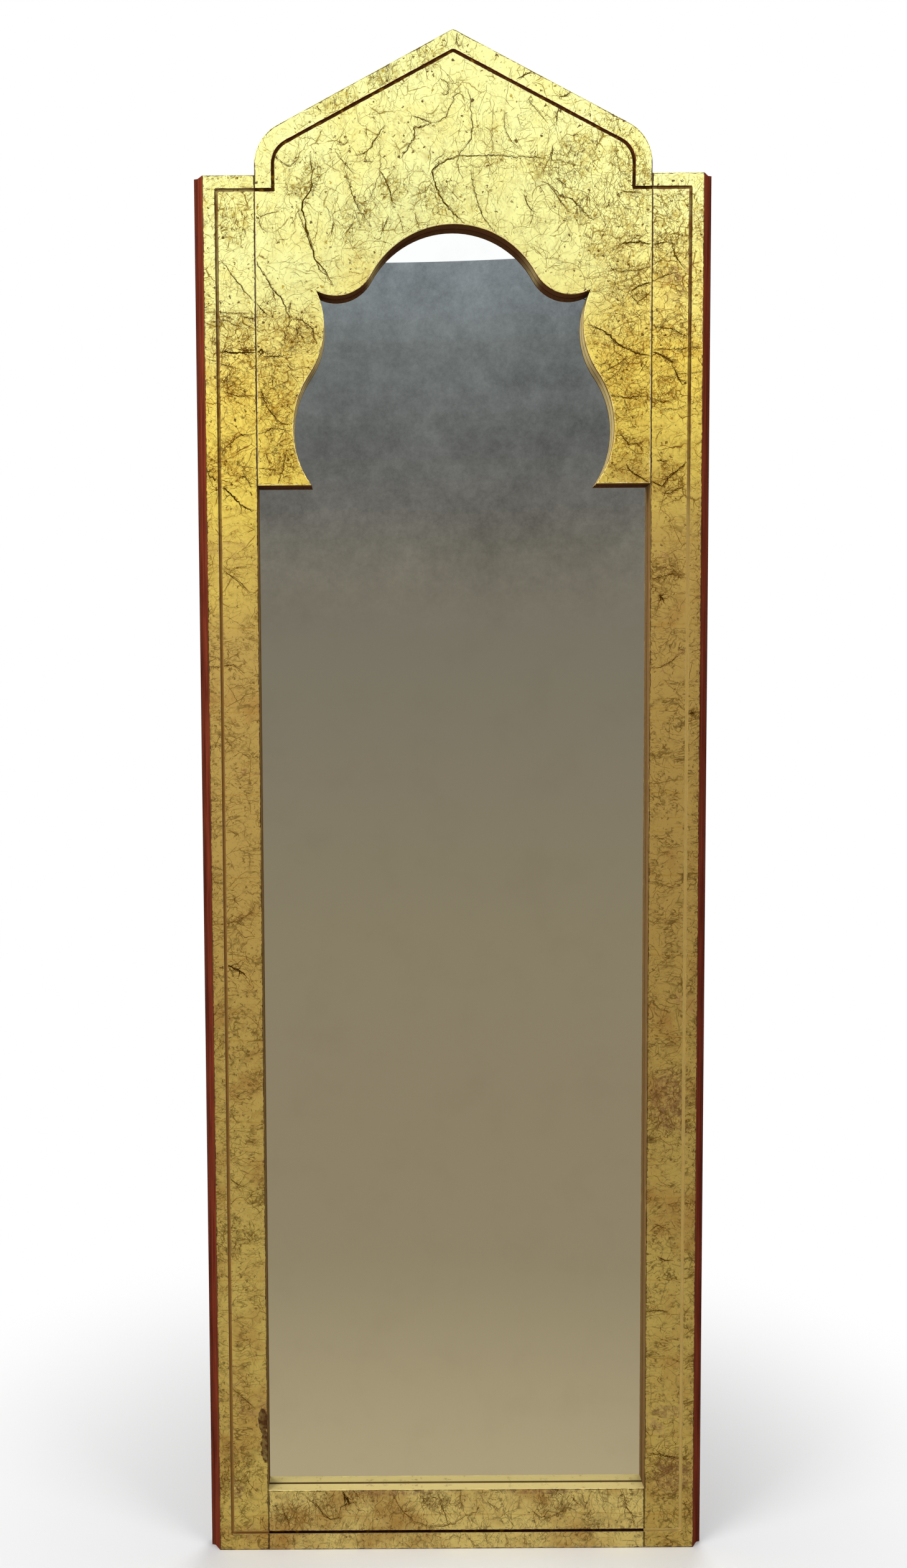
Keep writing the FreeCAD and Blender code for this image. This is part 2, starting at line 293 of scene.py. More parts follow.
def makeWorld(look):
    world = bpy.data.worlds.new("studio")
    scene.world = world
    world.use_nodes = True
    sky = Tree(world.node_tree)
    path = sky.add("ShaderNodeLightPath").outputs
    direction = sky.add("ShaderNodeTexCoord").outputs["Generated"]
    height = sky.split(direction)[2]
    ramp = sky.add("ShaderNodeValToRGB", {0: sky.between(height, 0.0, 1.0, -1.0, 1.0)})
    while len(ramp.color_ramp.elements) < len(look["room"]):
        ramp.color_ramp.elements.new(0.5)
    for element, (sine, colour) in zip(ramp.color_ramp.elements, look["room"]):
        element.position = (sine + 1) / 2
        element.color = colour
    # clouds: noise of the direction scales the grey part of the room, and leaves the rest as it is
    cloud = sky.between(sky.cloud(direction, *look["cloudNoise"]), *look["roomCloud"], *look["cloudCut"])
    below = sky.math("LESS_THAN", height, look["whiteFrom"])
    share = sky.times(sky.between(height, 0.0, 1.0, *look["cloudFrom"]), below)
    plain = sky.between(below, look["whiteLift"], 1.0)
    strength = sky.add("ShaderNodeMix", {0: share, 2: plain, 3: cloud}).outputs[0]
    colour = sky.mix(below, look["white"], ramp.outputs[0])
    room = sky.add("ShaderNodeBackground", {"Color": colour, "Strength": strength}).outputs[0]
    # polished pieces see the room, the camera sees white, all else the even fill
    fill = world.node_tree.nodes["Background"]
    sky.feed(fill.inputs["Strength"], look["fill"])
    sky.feed(fill.inputs["Color"], look["white"])
    white = sky.add("ShaderNodeBackground", {"Color": look["white"]}).outputs[0]
    polished = sky.most(path["Is Glossy Ray"], path["Is Transmission Ray"])
    shown = sky.blend(path["Is Camera Ray"], sky.blend(polished, fill.outputs[0], room), white)
    sky.feed(world.node_tree.nodes["World Output"].inputs["Surface"], shown)


def makeLamps(look):
    for name, place, aim, size, power in look["lamps"]:
        lamp = bpy.data.lights.new(name, "AREA")
        lamp.size, lamp.energy = size, power
        holder = bpy.data.objects.new(name, lamp)
        holder.location = place
        holder.rotation_euler = (Vector(aim) - Vector(place)).to_track_quat("-Z", "Y").to_euler()
        scene.collection.objects.link(holder)


makeFloor(stageLook)
makeWorld(stageLook)
makeLamps(stageLook)
print("stage set")

# gilded boards
giltLook = {
    "leaf": tone(241, 242, 166),  # pale leaf of the crest, partly painted light
    "leafRich": tone(250, 224, 106),  # deep gold below the crest
    "leafDullAndShaded": tone(190, 149, 80),  # duller gold half way up the stiles, partly painted shade
    "rich": (1.36, 1.16),  # heights in metres between which one gold becomes the next
    "dullHeights": (1.15, 0.94),
    "tilt": 0.15,  # the duller gold reaches higher on the right, by this slope: painted shade, as the light falls from the left
    "haze": tone(186, 146, 48),
    "seam": tone(54, 26, 8),
    "amber": tone(182, 132, 34),
    "amberPale": tone(174, 148, 42),  # stains and hairs are greener on the crest
    "hairPale": tone(126, 100, 20),
    "umber": tone(104, 76, 26),
    "vein": tone(72, 36, 8),
    "hair": tone(116, 70, 12),
    "bole": tone(150, 104, 74),  # red-brown ground where the leaf is rubbed
    "chip": tone(80, 56, 38),
    "patchShare": {"bole": (0.1, 0.7), "chip": (0.7, 1.0)},
    "metal": 0.6,
    "leafRough": 0.42,
    "dullRough": 0.65,
    "paint": tone(134, 60, 38),
    "paintDark": tone(90, 36, 25),
    "paintBlack": tone(44, 22, 18),
    "bareWood": tone(156, 118, 76),
    "bareWoodDark": tone(114, 80, 48),
    "bevelX": 0.2444,  # metres from the middle to the bevel and to the ledge
    "ledgeX": 0.2504,
    "grooveDepth": 2.2 * mm,
    "grooveX": 0.2314,  # middles of the straight grooves
    "grooveTop": 1.3738,
    "grooveFoot": 0.0188,
    "sheet": 0.083,  # height of one sheet of leaf
    "clouds": {  # scale, the two levels that cut them, detail, roughness
        "crowd": (7.0, 0.5, 0.7, 3.0),
        "middleGap": (46.0, 0.45, 0.68),
        "fineGap": (95.0, 0.46, 0.56),
        "creaseGap": (38.0, 0.42, 0.58, 3.0),
        "wormGap": (75.0, 0.52, 0.62, 3.0),
        "haloGap": (60.0, 0.45, 0.75, 3.0),
        "mottle": (13.0, 0.4, 0.7, 6.0, 0.65),
        "flaked": (150.0, 0.38, 0.62, 4.0, 0.7),
        "grooveStain": (180.0, 0.5, 0.8, 3.0),
        "grooveGilt": (26.0, 0.3, 0.7, 4.0),
    },
}
# groove and the low groove colour: colour of the groove above and low down, the low one painted light, bright
# on the right stile as lit from the left; on the crest and rail the groove's dark is red-brown fill deepened
# with painted shade; grooveLeaf and the wall share: shares of leaf left in it and of painted shade on its
# walls; grooveZone: beyond this x, above this height or below this one, in metres
# crackle, creased, rubbed: strengths; crease and grain: stretch of these patterns along the axes
# patches: middle, reach and kind; crowds: middle and reach; all in millimetres across and above the foot
boardLooks = {
    "crest_board": {
        "groove": tone(84, 50, 22), "grooveLowPaintedLight": tone(84, 50, 22),
        "grooveLeaf": 0.0, "grooveWallShade": 0.7, "grooveZone": (0.0, 9.0, -9.0),
        "crackle": 0.85, "crease": (1.0, 0.6, 1.0), "creased": 0.6, "rubbed": 0.1,
        "leafOld": tone(216, 193, 110), "grain": (1.0, 1.0, 0.05),
        "edgeFrontAndSoffitShade": tone(84, 54, 34), "edgeDeep": tone(186, 166, 116), "patches": (),
        "crowds": ((168, 1405, 20), (165, 1442, 22), (-137, 1390, 16), (-148, 1372, 12), (-95, 1350, 16),
                   (-178, 1236, 30), (162, 1236, 28), (116, 1358, 18), (-58, 1376, 16), (-110, 1462, 18),
                   (-68, 1484, 16), (-24, 1505, 16), (40, 1402, 10), (-16, 1365, 16), (85, 1395, 14),
                   (-166, 1118, 26), (-172, 1170, 26), (168, 1118, 26), (165, 1172, 28), (160, 1330, 34),
                   (172, 1282, 30), (165, 1228, 34), (120, 1405, 24), (180, 1375, 24), (-178, 1195, 26),
                   (-150, 1236, 22)),
    },
    "left_stile": {
        "groove": tone(158, 102, 46), "grooveLowPaintedLight": tone(172, 128, 66),
        "grooveLeaf": 0.6, "grooveWallShade": 0.3, "grooveZone": (0.215, 1.36, 0.03),
        "crackle": 1.0, "crease": (0.4, 1.0, 1.0), "creased": 0.9, "rubbed": 0.45,
        "leafOld": tone(226, 202, 114), "grain": (1.0, 1.0, 0.05),
        "edgeFrontAndSoffitShade": tone(196, 160, 92), "edgeDeep": tone(120, 92, 56),
        "patches": ((-199, 136, 4, 13, "chip"), (-196.5, 110, 4.5, 17, "chip"), (-227, 65, 7, 12, "bole")),
        "crowds": ((-214, 1345, 22), (-220, 1240, 26), (-212, 1216, 26), (-226, 1110, 24), (-222, 1185, 18),
                   (-228, 330, 24), (-232, 85, 26)),
    },
    "right_stile": {
        "groove": tone(158, 102, 46), "grooveLowPaintedLight": tone(244, 218, 134),
        "grooveLeaf": 0.6, "grooveWallShade": 0.3, "grooveZone": (0.215, 1.36, 0.03),
        "crackle": 1.0, "crease": (0.4, 1.0, 1.0), "creased": 1.0, "rubbed": 0.55,
        "leafOld": tone(216, 191, 108), "grain": (1.0, 1.0, 0.05),
        "edgeFrontAndSoffitShade": tone(206, 172, 104), "edgeDeep": tone(128, 98, 60),
        "patches": ((215, 470, 20, 34, "bole"), (222, 78, 22, 20, "bole"), (216, 145, 16, 8, "bole")),
        "crowds": ((218, 1345, 34), (218, 1300, 30), (214, 1230, 34), (205, 1180, 16), (214, 1092, 18),
                   (206, 1000, 22), (215, 470, 40), (222, 75, 30)),
    },
    "bottom_rail": {
        "groove": tone(44, 16, 12), "grooveLowPaintedLight": tone(44, 16, 12),
        "grooveLeaf": 0.0, "grooveWallShade": 0.6, "grooveZone": (9.0, 9.0, 0.03),
        "crackle": 1.0, "crease": (1.0, 0.4, 1.0), "creased": 0.8, "rubbed": 0.4,
        "leafOld": tone(240, 220, 140), "grain": (0.05, 1.0, 1.0),
        "edgeFrontAndSoffitShade": tone(230, 214, 142), "edgeDeep": tone(208, 188, 124),
        "patches": ((-60, 62, 60, 5, "bole"), (90, 62, 50, 4, "bole")),
        "crowds": ((-140, 50, 16), (-175, 40, 14), (100, 50, 20), (140, 30, 14), (-20, 50, 14)),
    },
}


def crackLeaf(gilt, look, board):
    clouds = {name: gilt.patchy(*numbers) for name, numbers in look["clouds"].items()}
    # crowded places, where cracks, specks and amber stains gather
    ragged = gilt.warped(gilt.sheet, 45.0, 0.03, 3.0)
    crowd = gilt.times(clouds["crowd"], 0.7)
    for x, z, reach in board["crowds"]:
        crowd = gilt.most(crowd, gilt.patch(ragged, x, z, reach, reach))
    rim = gilt.step(gilt.across, look["bevelX"] - 9 * mm, look["bevelX"] - 2 * mm)
    crowd = gilt.most(crowd, gilt.times(rim, 0.6))
    # hair cracks: edges of warped cells, broken up by a cloud that thins them to nothing
    wander = gilt.warped(gilt.warped(gilt.sheet, 14.0, 0.05), 90.0, 0.008, 3.0)
    middle, fine = (gilt.cells(wander, scale, "DISTANCE_TO_EDGE").outputs["Distance"]
                    for scale in (48.0, 120.0))
    widest = gilt.plus(gilt.times(clouds["middleGap"], 0.042), 0.0005)
    middleVein = gilt.step(middle, widest, gilt.times(clouds["middleGap"], 0.01))
    fineVein = gilt.times(gilt.step(fine, 0.08, 0.02), gilt.most(crowd, 0.45), clouds["fineGap"])
    hairs = gilt.times(gilt.most(middleVein, fineVein), board["crackle"])
    # specks: small discs in chosen cells, more of them in the crowded places
    speck = gilt.cells(gilt.warped(gilt.sheet, 420.0, 0.006), 210.0)
    pick = gilt.split(speck.outputs["Color"])
    size = gilt.between(gilt.times(pick[1], pick[1], pick[1]), 0.1, 0.36)
    least = gilt.between(crowd, 0.7, 0.5)
    dots = gilt.times(gilt.step(speck.outputs["Distance"], size, gilt.times(size, 0.6)),
                      gilt.step(pick[0], least, gilt.plus(least, 0.02)))
    # flecks: torn scraps of a fine cloud, slanting a little, thick in the crowded places
    slant = gilt.stretched(gilt.warped(gilt.sheet, 60.0, 0.02), (1.0, 0.55, 1.0))
    fleck = gilt.step(gilt.cloud(slant, 420.0, 3.0, 0.65), gilt.between(crowd, 0.63, 0.53),
                      gilt.between(crowd, 0.7, 0.62))
    # creases: level lines of three drawn-out clouds, wandering hairs broken up by other clouds
    drawnOut = gilt.stretched(gilt.warped(gilt.sheet, 20.0, 0.04), board["crease"])
    away = [gilt.away(gilt.cloud(drawnOut, scale, 3.0, 0.6), 0.5) for scale in (46.0, 110.0, 190.0)]
    crease = gilt.most(gilt.step(away[0], 0.016, 0.004), gilt.times(gilt.step(away[1], 0.024, 0.008), 0.7))
    worm = gilt.times(gilt.step(away[2], 0.04, 0.012), clouds["wormGap"])
    crease = gilt.most(gilt.times(crease, clouds["creaseGap"]), worm)
    crease = gilt.times(crease, gilt.most(gilt.between(crowd, 0.5, 1.0), gilt.step(gilt.z, 1.1, 0.9)))
    # stains: round the cracks, and in blotches over the crowded places
    halo = gilt.times(gilt.step(middle, 0.13, 0.0), clouds["haloGap"], 0.7)
    blotch = gilt.step(gilt.cloud(ragged, 130.0, 4.0, 0.7), 0.44, 0.66)
    return {**clouds, "dots": dots, "pick": pick[2], "veins": gilt.most(hairs, dots),
            "flecks": gilt.most(fleck, gilt.times(crease, board["creased"])),
            "stain": gilt.most(halo, gilt.times(crowd, blotch))}


def toneLeaf(gilt, look, board, marks):
    # leaf colour: pale at the crest, rich below it, duller and mottled lower down; the fall from the pale top
    # to the duller foot is partly painted light, as the light falls from above
    toned, richness, mottle = gilt.toned, gilt.richness, marks["mottle"]
    leaf = gilt.mix(gilt.most(richness, gilt.times(mottle, 0.28)), look["leaf"], look["leafRich"])
    # toning: brown haze in small clouds, strongest between the pale crest and the duller foot
    haze = gilt.step(gilt.cloud(gilt.warped(gilt.sheet, 24.0, 0.04), 85.0, 6.0, 0.72), 0.4, 0.68)
    leaf = gilt.mix(gilt.times(haze, gilt.between(richness, 0.14, 0.42)), leaf, look["haze"])
    dullness = gilt.most(mottle, gilt.times(gilt.step(gilt.z, 0.2, 0.7), 0.6))
    leaf = gilt.mix(toned, leaf, gilt.mix(dullness, board["leafOld"], look["leafDullAndShaded"]))
    # faint laps between the sheets of leaf, and level scratches
    row = gilt.plus(gilt.math("DIVIDE", gilt.z, look["sheet"]), gilt.times(gilt.cloud(gilt.sheet, 16.0), 0.12))
    lap = gilt.step(gilt.away(gilt.math("FRACT", row), 0.5), 0.014, 0.004)
    scratch = gilt.step(gilt.cloud(gilt.stretched(gilt.sheet, (0.05, 1.0, 1.0)), 420.0, 1.0), 0.66, 0.76)
    leaf = gilt.mix(gilt.times(gilt.most(lap, scratch), gilt.between(toned, 0.04, 0.3)), leaf, look["amber"])
    # stains and flecks
    resin = gilt.mix(toned, gilt.mix(richness, look["amberPale"], look["amber"]), look["umber"])
    leaf = gilt.mix(gilt.times(marks["stain"], 0.5), leaf, resin)
    darker = gilt.times(gilt.step(marks["pick"], 0.3, 0.7), gilt.between(toned, 1.0, 0.4))
    leaf = gilt.mix(gilt.times(marks["flecks"], 0.75), leaf, gilt.mix(darker, resin, look["vein"]))
    # rubbed places where the ground shows, and the patches named for this board
    grit = gilt.times(gilt.cloud(gilt.sheet, 140.0, 3.0), 0.25)
    worn = gilt.plus(gilt.cloud(gilt.sheet, 11.0, 5.0, 0.7), grit)
    rub = gilt.times(gilt.step(worn, 0.72, 0.84), board["rubbed"])
    leaf = gilt.mix(rub, leaf, look["bole"])
    torn = gilt.warped(gilt.sheet, 130.0, 0.008, 3.0)
    flaked = marks["flaked"]
    for x, z, reachX, reachZ, kind in board["patches"]:
        share = gilt.times(gilt.patch(torn, x, z, reachX, reachZ, kind == "chip"),
                           gilt.between(flaked, *look["patchShare"][kind]))
        leaf = gilt.mix(share, leaf, gilt.mix(gilt.times(flaked, 0.5), look[kind], look["vein"]))
        rub = gilt.most(rub, share)
    # cracks and specks
    hairTone = gilt.mix(toned, gilt.mix(richness, look["hairPale"], look["hair"]), look["umber"])
    dotTone = gilt.mix(gilt.step(marks["pick"], 0.5, 0.9), look["vein"], resin)
    veinTone = gilt.mix(gilt.step(marks["dots"], 0.2, 0.6), hairTone, dotTone)
    leaf = gilt.mix(gilt.times(marks["veins"], gilt.between(toned, 0.92, 0.7)), leaf, veinTone)
    # dark seam along the two joints
    seam = gilt.step(gilt.away(gilt.across, jointX), 0.8 * mm, 0.4 * mm)
    return gilt.mix(gilt.times(seam, gilt.between(toned, 0.95, 0.7)), leaf, look["seam"]), rub


def edgeTone(gilt, look, board):
    # cut edges of the boards, darker or paler towards the plate, with a dark line where they meet it; edges
    # facing down keep the front tone, which on the crest is painted shade
    depth = gilt.plus(gilt.y, gilt.between(gilt.cloud(gilt.place, 90.0, 3.0), -4 * mm, 4 * mm))
    # painted shade: faces turned down are held at the front tone, dark brown on the crest's soffits
    deep = gilt.times(gilt.step(depth, -12 * mm, -8 * mm), gilt.step(gilt.faceZ, -0.75, -0.35))
    edge = gilt.mix(deep, board["edgeFrontAndSoffitShade"], board["edgeDeep"])
    meeting = gilt.plus(gilt.y, gilt.times(gilt.step(gilt.faceZ, 0.3, 0.7), 0.9 * mm))
    edge = gilt.mix(gilt.times(gilt.step(meeting, 1.5 * mm, 2.2 * mm), 0.9), edge, look["seam"])
    grime = gilt.step(gilt.cloud(gilt.place, 120.0, 5.0, 0.75), 0.55, 0.7)
    return gilt.mix(gilt.times(grime, 0.5), edge, look["umber"])


def sunkGroove(gilt, look, board, marks, leaf):
    # where the groove is, by depth and zone
    floorY = frontY + look["grooveDepth"]
    zoneX, zoneTop, zoneFoot = board["grooveZone"]
    zone = gilt.most(gilt.math("GREATER_THAN", gilt.across, zoneX), gilt.math("GREATER_THAN", gilt.z, zoneTop),
                     gilt.math("LESS_THAN", gilt.z, zoneFoot))
    groove = gilt.times(gilt.step(gilt.y, frontY + 0.2 * mm, frontY + 0.6 * mm),
                        gilt.step(gilt.y, floorY + 0.3 * mm, floorY + 0.1 * mm), zone)
    # the board's groove colour; on the crest and rail its dark is red-brown fill deepened with painted shade
    colour = gilt.mix(marks["grooveStain"], board["groove"], look["amber"])
    colour = gilt.mix(gilt.times(marks["grooveGilt"], board["grooveLeaf"]), colour, leaf)
    # painted light low down: a lit tone in the right stile's groove, a darker one in the left's
    colour = gilt.mix(gilt.times(gilt.toned, 0.8), colour, board["grooveLowPaintedLight"])
    # painted shade along the sides of the straight grooves, by the distance from the middle of the nearest one
    nearest = gilt.least(gilt.away(gilt.across, look["grooveX"]), gilt.away(gilt.z, look["grooveTop"]),
                         gilt.away(gilt.z, look["grooveFoot"]))
    upperShade = gilt.between(gilt.toned, 1.0, 0.3)
    sides = gilt.times(gilt.step(nearest, 0.8 * mm, 1.4 * mm), board["grooveLeaf"], upperShade)
    colour = gilt.mix(sides, colour, look["seam"])
    # painted shade on the groove's walls, less of it low down
    return groove, gilt.mix(gilt.times(gilt.aside, board["grooveWallShade"], upperShade), colour, look["vein"])


def outerPaint(gilt, look, grain):
    # painted outer edges, darker on the ledge
    outer = gilt.step(gilt.across, look["bevelX"] - 0.1 * mm, look["bevelX"] + 0.3 * mm)
    upper = gilt.times(gilt.step(gilt.z, stileTop - 1.5 * mm, stileTop - 0.5 * mm), gilt.aside)
    under = gilt.times(gilt.step(gilt.z, 1.5 * mm, 0.5 * mm), gilt.step(gilt.faceZ, -0.6, -0.8))
    paint = gilt.mix(gilt.step(grain, 0.3, 0.75), look["paint"], look["paintDark"])
    ledge = gilt.times(gilt.step(gilt.across, look["ledgeX"] - 0.3 * mm, look["ledgeX"]), 0.3)
    side = gilt.step(gilt.across, halfWidth - 0.7 * mm, halfWidth - 0.3 * mm)
    return gilt.most(outer, upper, under), gilt.mix(gilt.most(ledge, side), paint, look["paintBlack"])


def giltFinish(name, look, board):
    gilt = Finish(name)
    gilt.across = gilt.math("ABSOLUTE", gilt.x)
    front, behind = gilt.step(gilt.faceY, -0.35, -0.75), gilt.step(gilt.faceY, 0.3, 0.7)
    gilt.aside = gilt.minus(1.0, front)
    # height that sets the fall from pale to dull gold, which is partly painted light from above
    level = gilt.plus(gilt.z, gilt.between(gilt.cloud(gilt.sheet, 9.0, 3.0), -0.09, 0.09))
    # painted shade: the right side is tilted into the duller gold, as the light falls from the left
    level = gilt.minus(level, gilt.times(gilt.x, look["tilt"]))
    gilt.toned, gilt.richness = gilt.step(level, *look["dullHeights"]), gilt.step(level, *look["rich"])
    marks = crackLeaf(gilt, look, board)
    leaf, rub = toneLeaf(gilt, look, board, marks)
    colour = gilt.mix(front, edgeTone(gilt, look, board), leaf)
    groove, grooveTone = sunkGroove(gilt, look, board, marks, leaf)
    colour = gilt.mix(groove, colour, grooveTone)
    grain = gilt.cloud(gilt.stretched(gilt.place, board["grain"]), 300.0, 4.0, 0.6)
    painted, paint = outerPaint(gilt, look, grain)
    colour = gilt.mix(painted, colour, paint)
    wood = gilt.mix(gilt.step(grain, 0.35, 0.65), look["bareWood"], look["bareWoodDark"])
    colour = gilt.mix(behind, colour, wood)
    # leaf shines where nothing covers or breaks it
    dull = gilt.most(painted, behind, groove, gilt.times(marks["veins"], 0.9), rub, gilt.aside)
    shine = gilt.minus(1.0, dull, True)
    gilt.bump(gilt.minus(gilt.times(gilt.cloud(gilt.place, 160.0, 3.0), 0.5), marks["veins"]), 0.0002, 0.4)
    return gilt.set(Base_Color=colour, Metallic=gilt.times(shine, look["metal"]), Specular_IOR_Level=0.0,
                    Roughness=gilt.between(shine, look["dullRough"], look["leafRough"]))


for boardName, boardLook in boardLooks.items():
    wear(giltFinish("gilt_" + boardName, giltLook, boardLook), boardName)
print("boards gilded")

# veins: long dark cracks in the leaf, drawn as low ridges on the gilded face; lengths in millimetres
veinLook = {
    "rise": 0.03,  # a ridge stands proud by this
    "sink": 0.04,  # and its edges go under the leaf by this
    "dark": tone(54, 36, 6),
    "pale": tone(116, 88, 14),
    "darkLow": tone(48, 28, 5),
    "paleLow": tone(104, 64, 12),
    "low": (1.36, 1.2),  # metres above the foot between which the low colours set in
    # drawn veins are this many times as wide as listed
    "swell": {"crest_board": 2.2, "left_stile": 1.9, "right_stile": 1.9, "bottom_rail": 1.2},
    "drawnSteps": 48,
    "strandReach": 1.1,
    "strandWidth": (0.5, 1.2),
    "twigsPerVein": 10,
    "twigSteps": 12,
    "twigSlant": (0.35, 1.1),  # radians
    "twigLength": (4, 24),
    "twigWidth": (0.6, 1.2),
    "uprightAbove": 1330,  # hairs and scraps run upright above this and on the rail
    "hairCounts": {"crest_board": 1200, "left_stile": 480, "right_stile": 540, "bottom_rail": 170},
    "hairSteps": 18,
    "hairLength": (10.0, 15.0),  # least, and mean beyond it
    "hairWidth": (0.5, 1.2),
    "scrapCounts": {"crest_board": 1100, "left_stile": 280, "right_stile": 320, "bottom_rail": 160},
    "scrapSteps": 7,
    "scrapLength": (1.4, 4.5),  # least, and mean beyond it
    "scrapWidth": (0.5, 0.4, 1.9),  # least, mean beyond it, and most
}
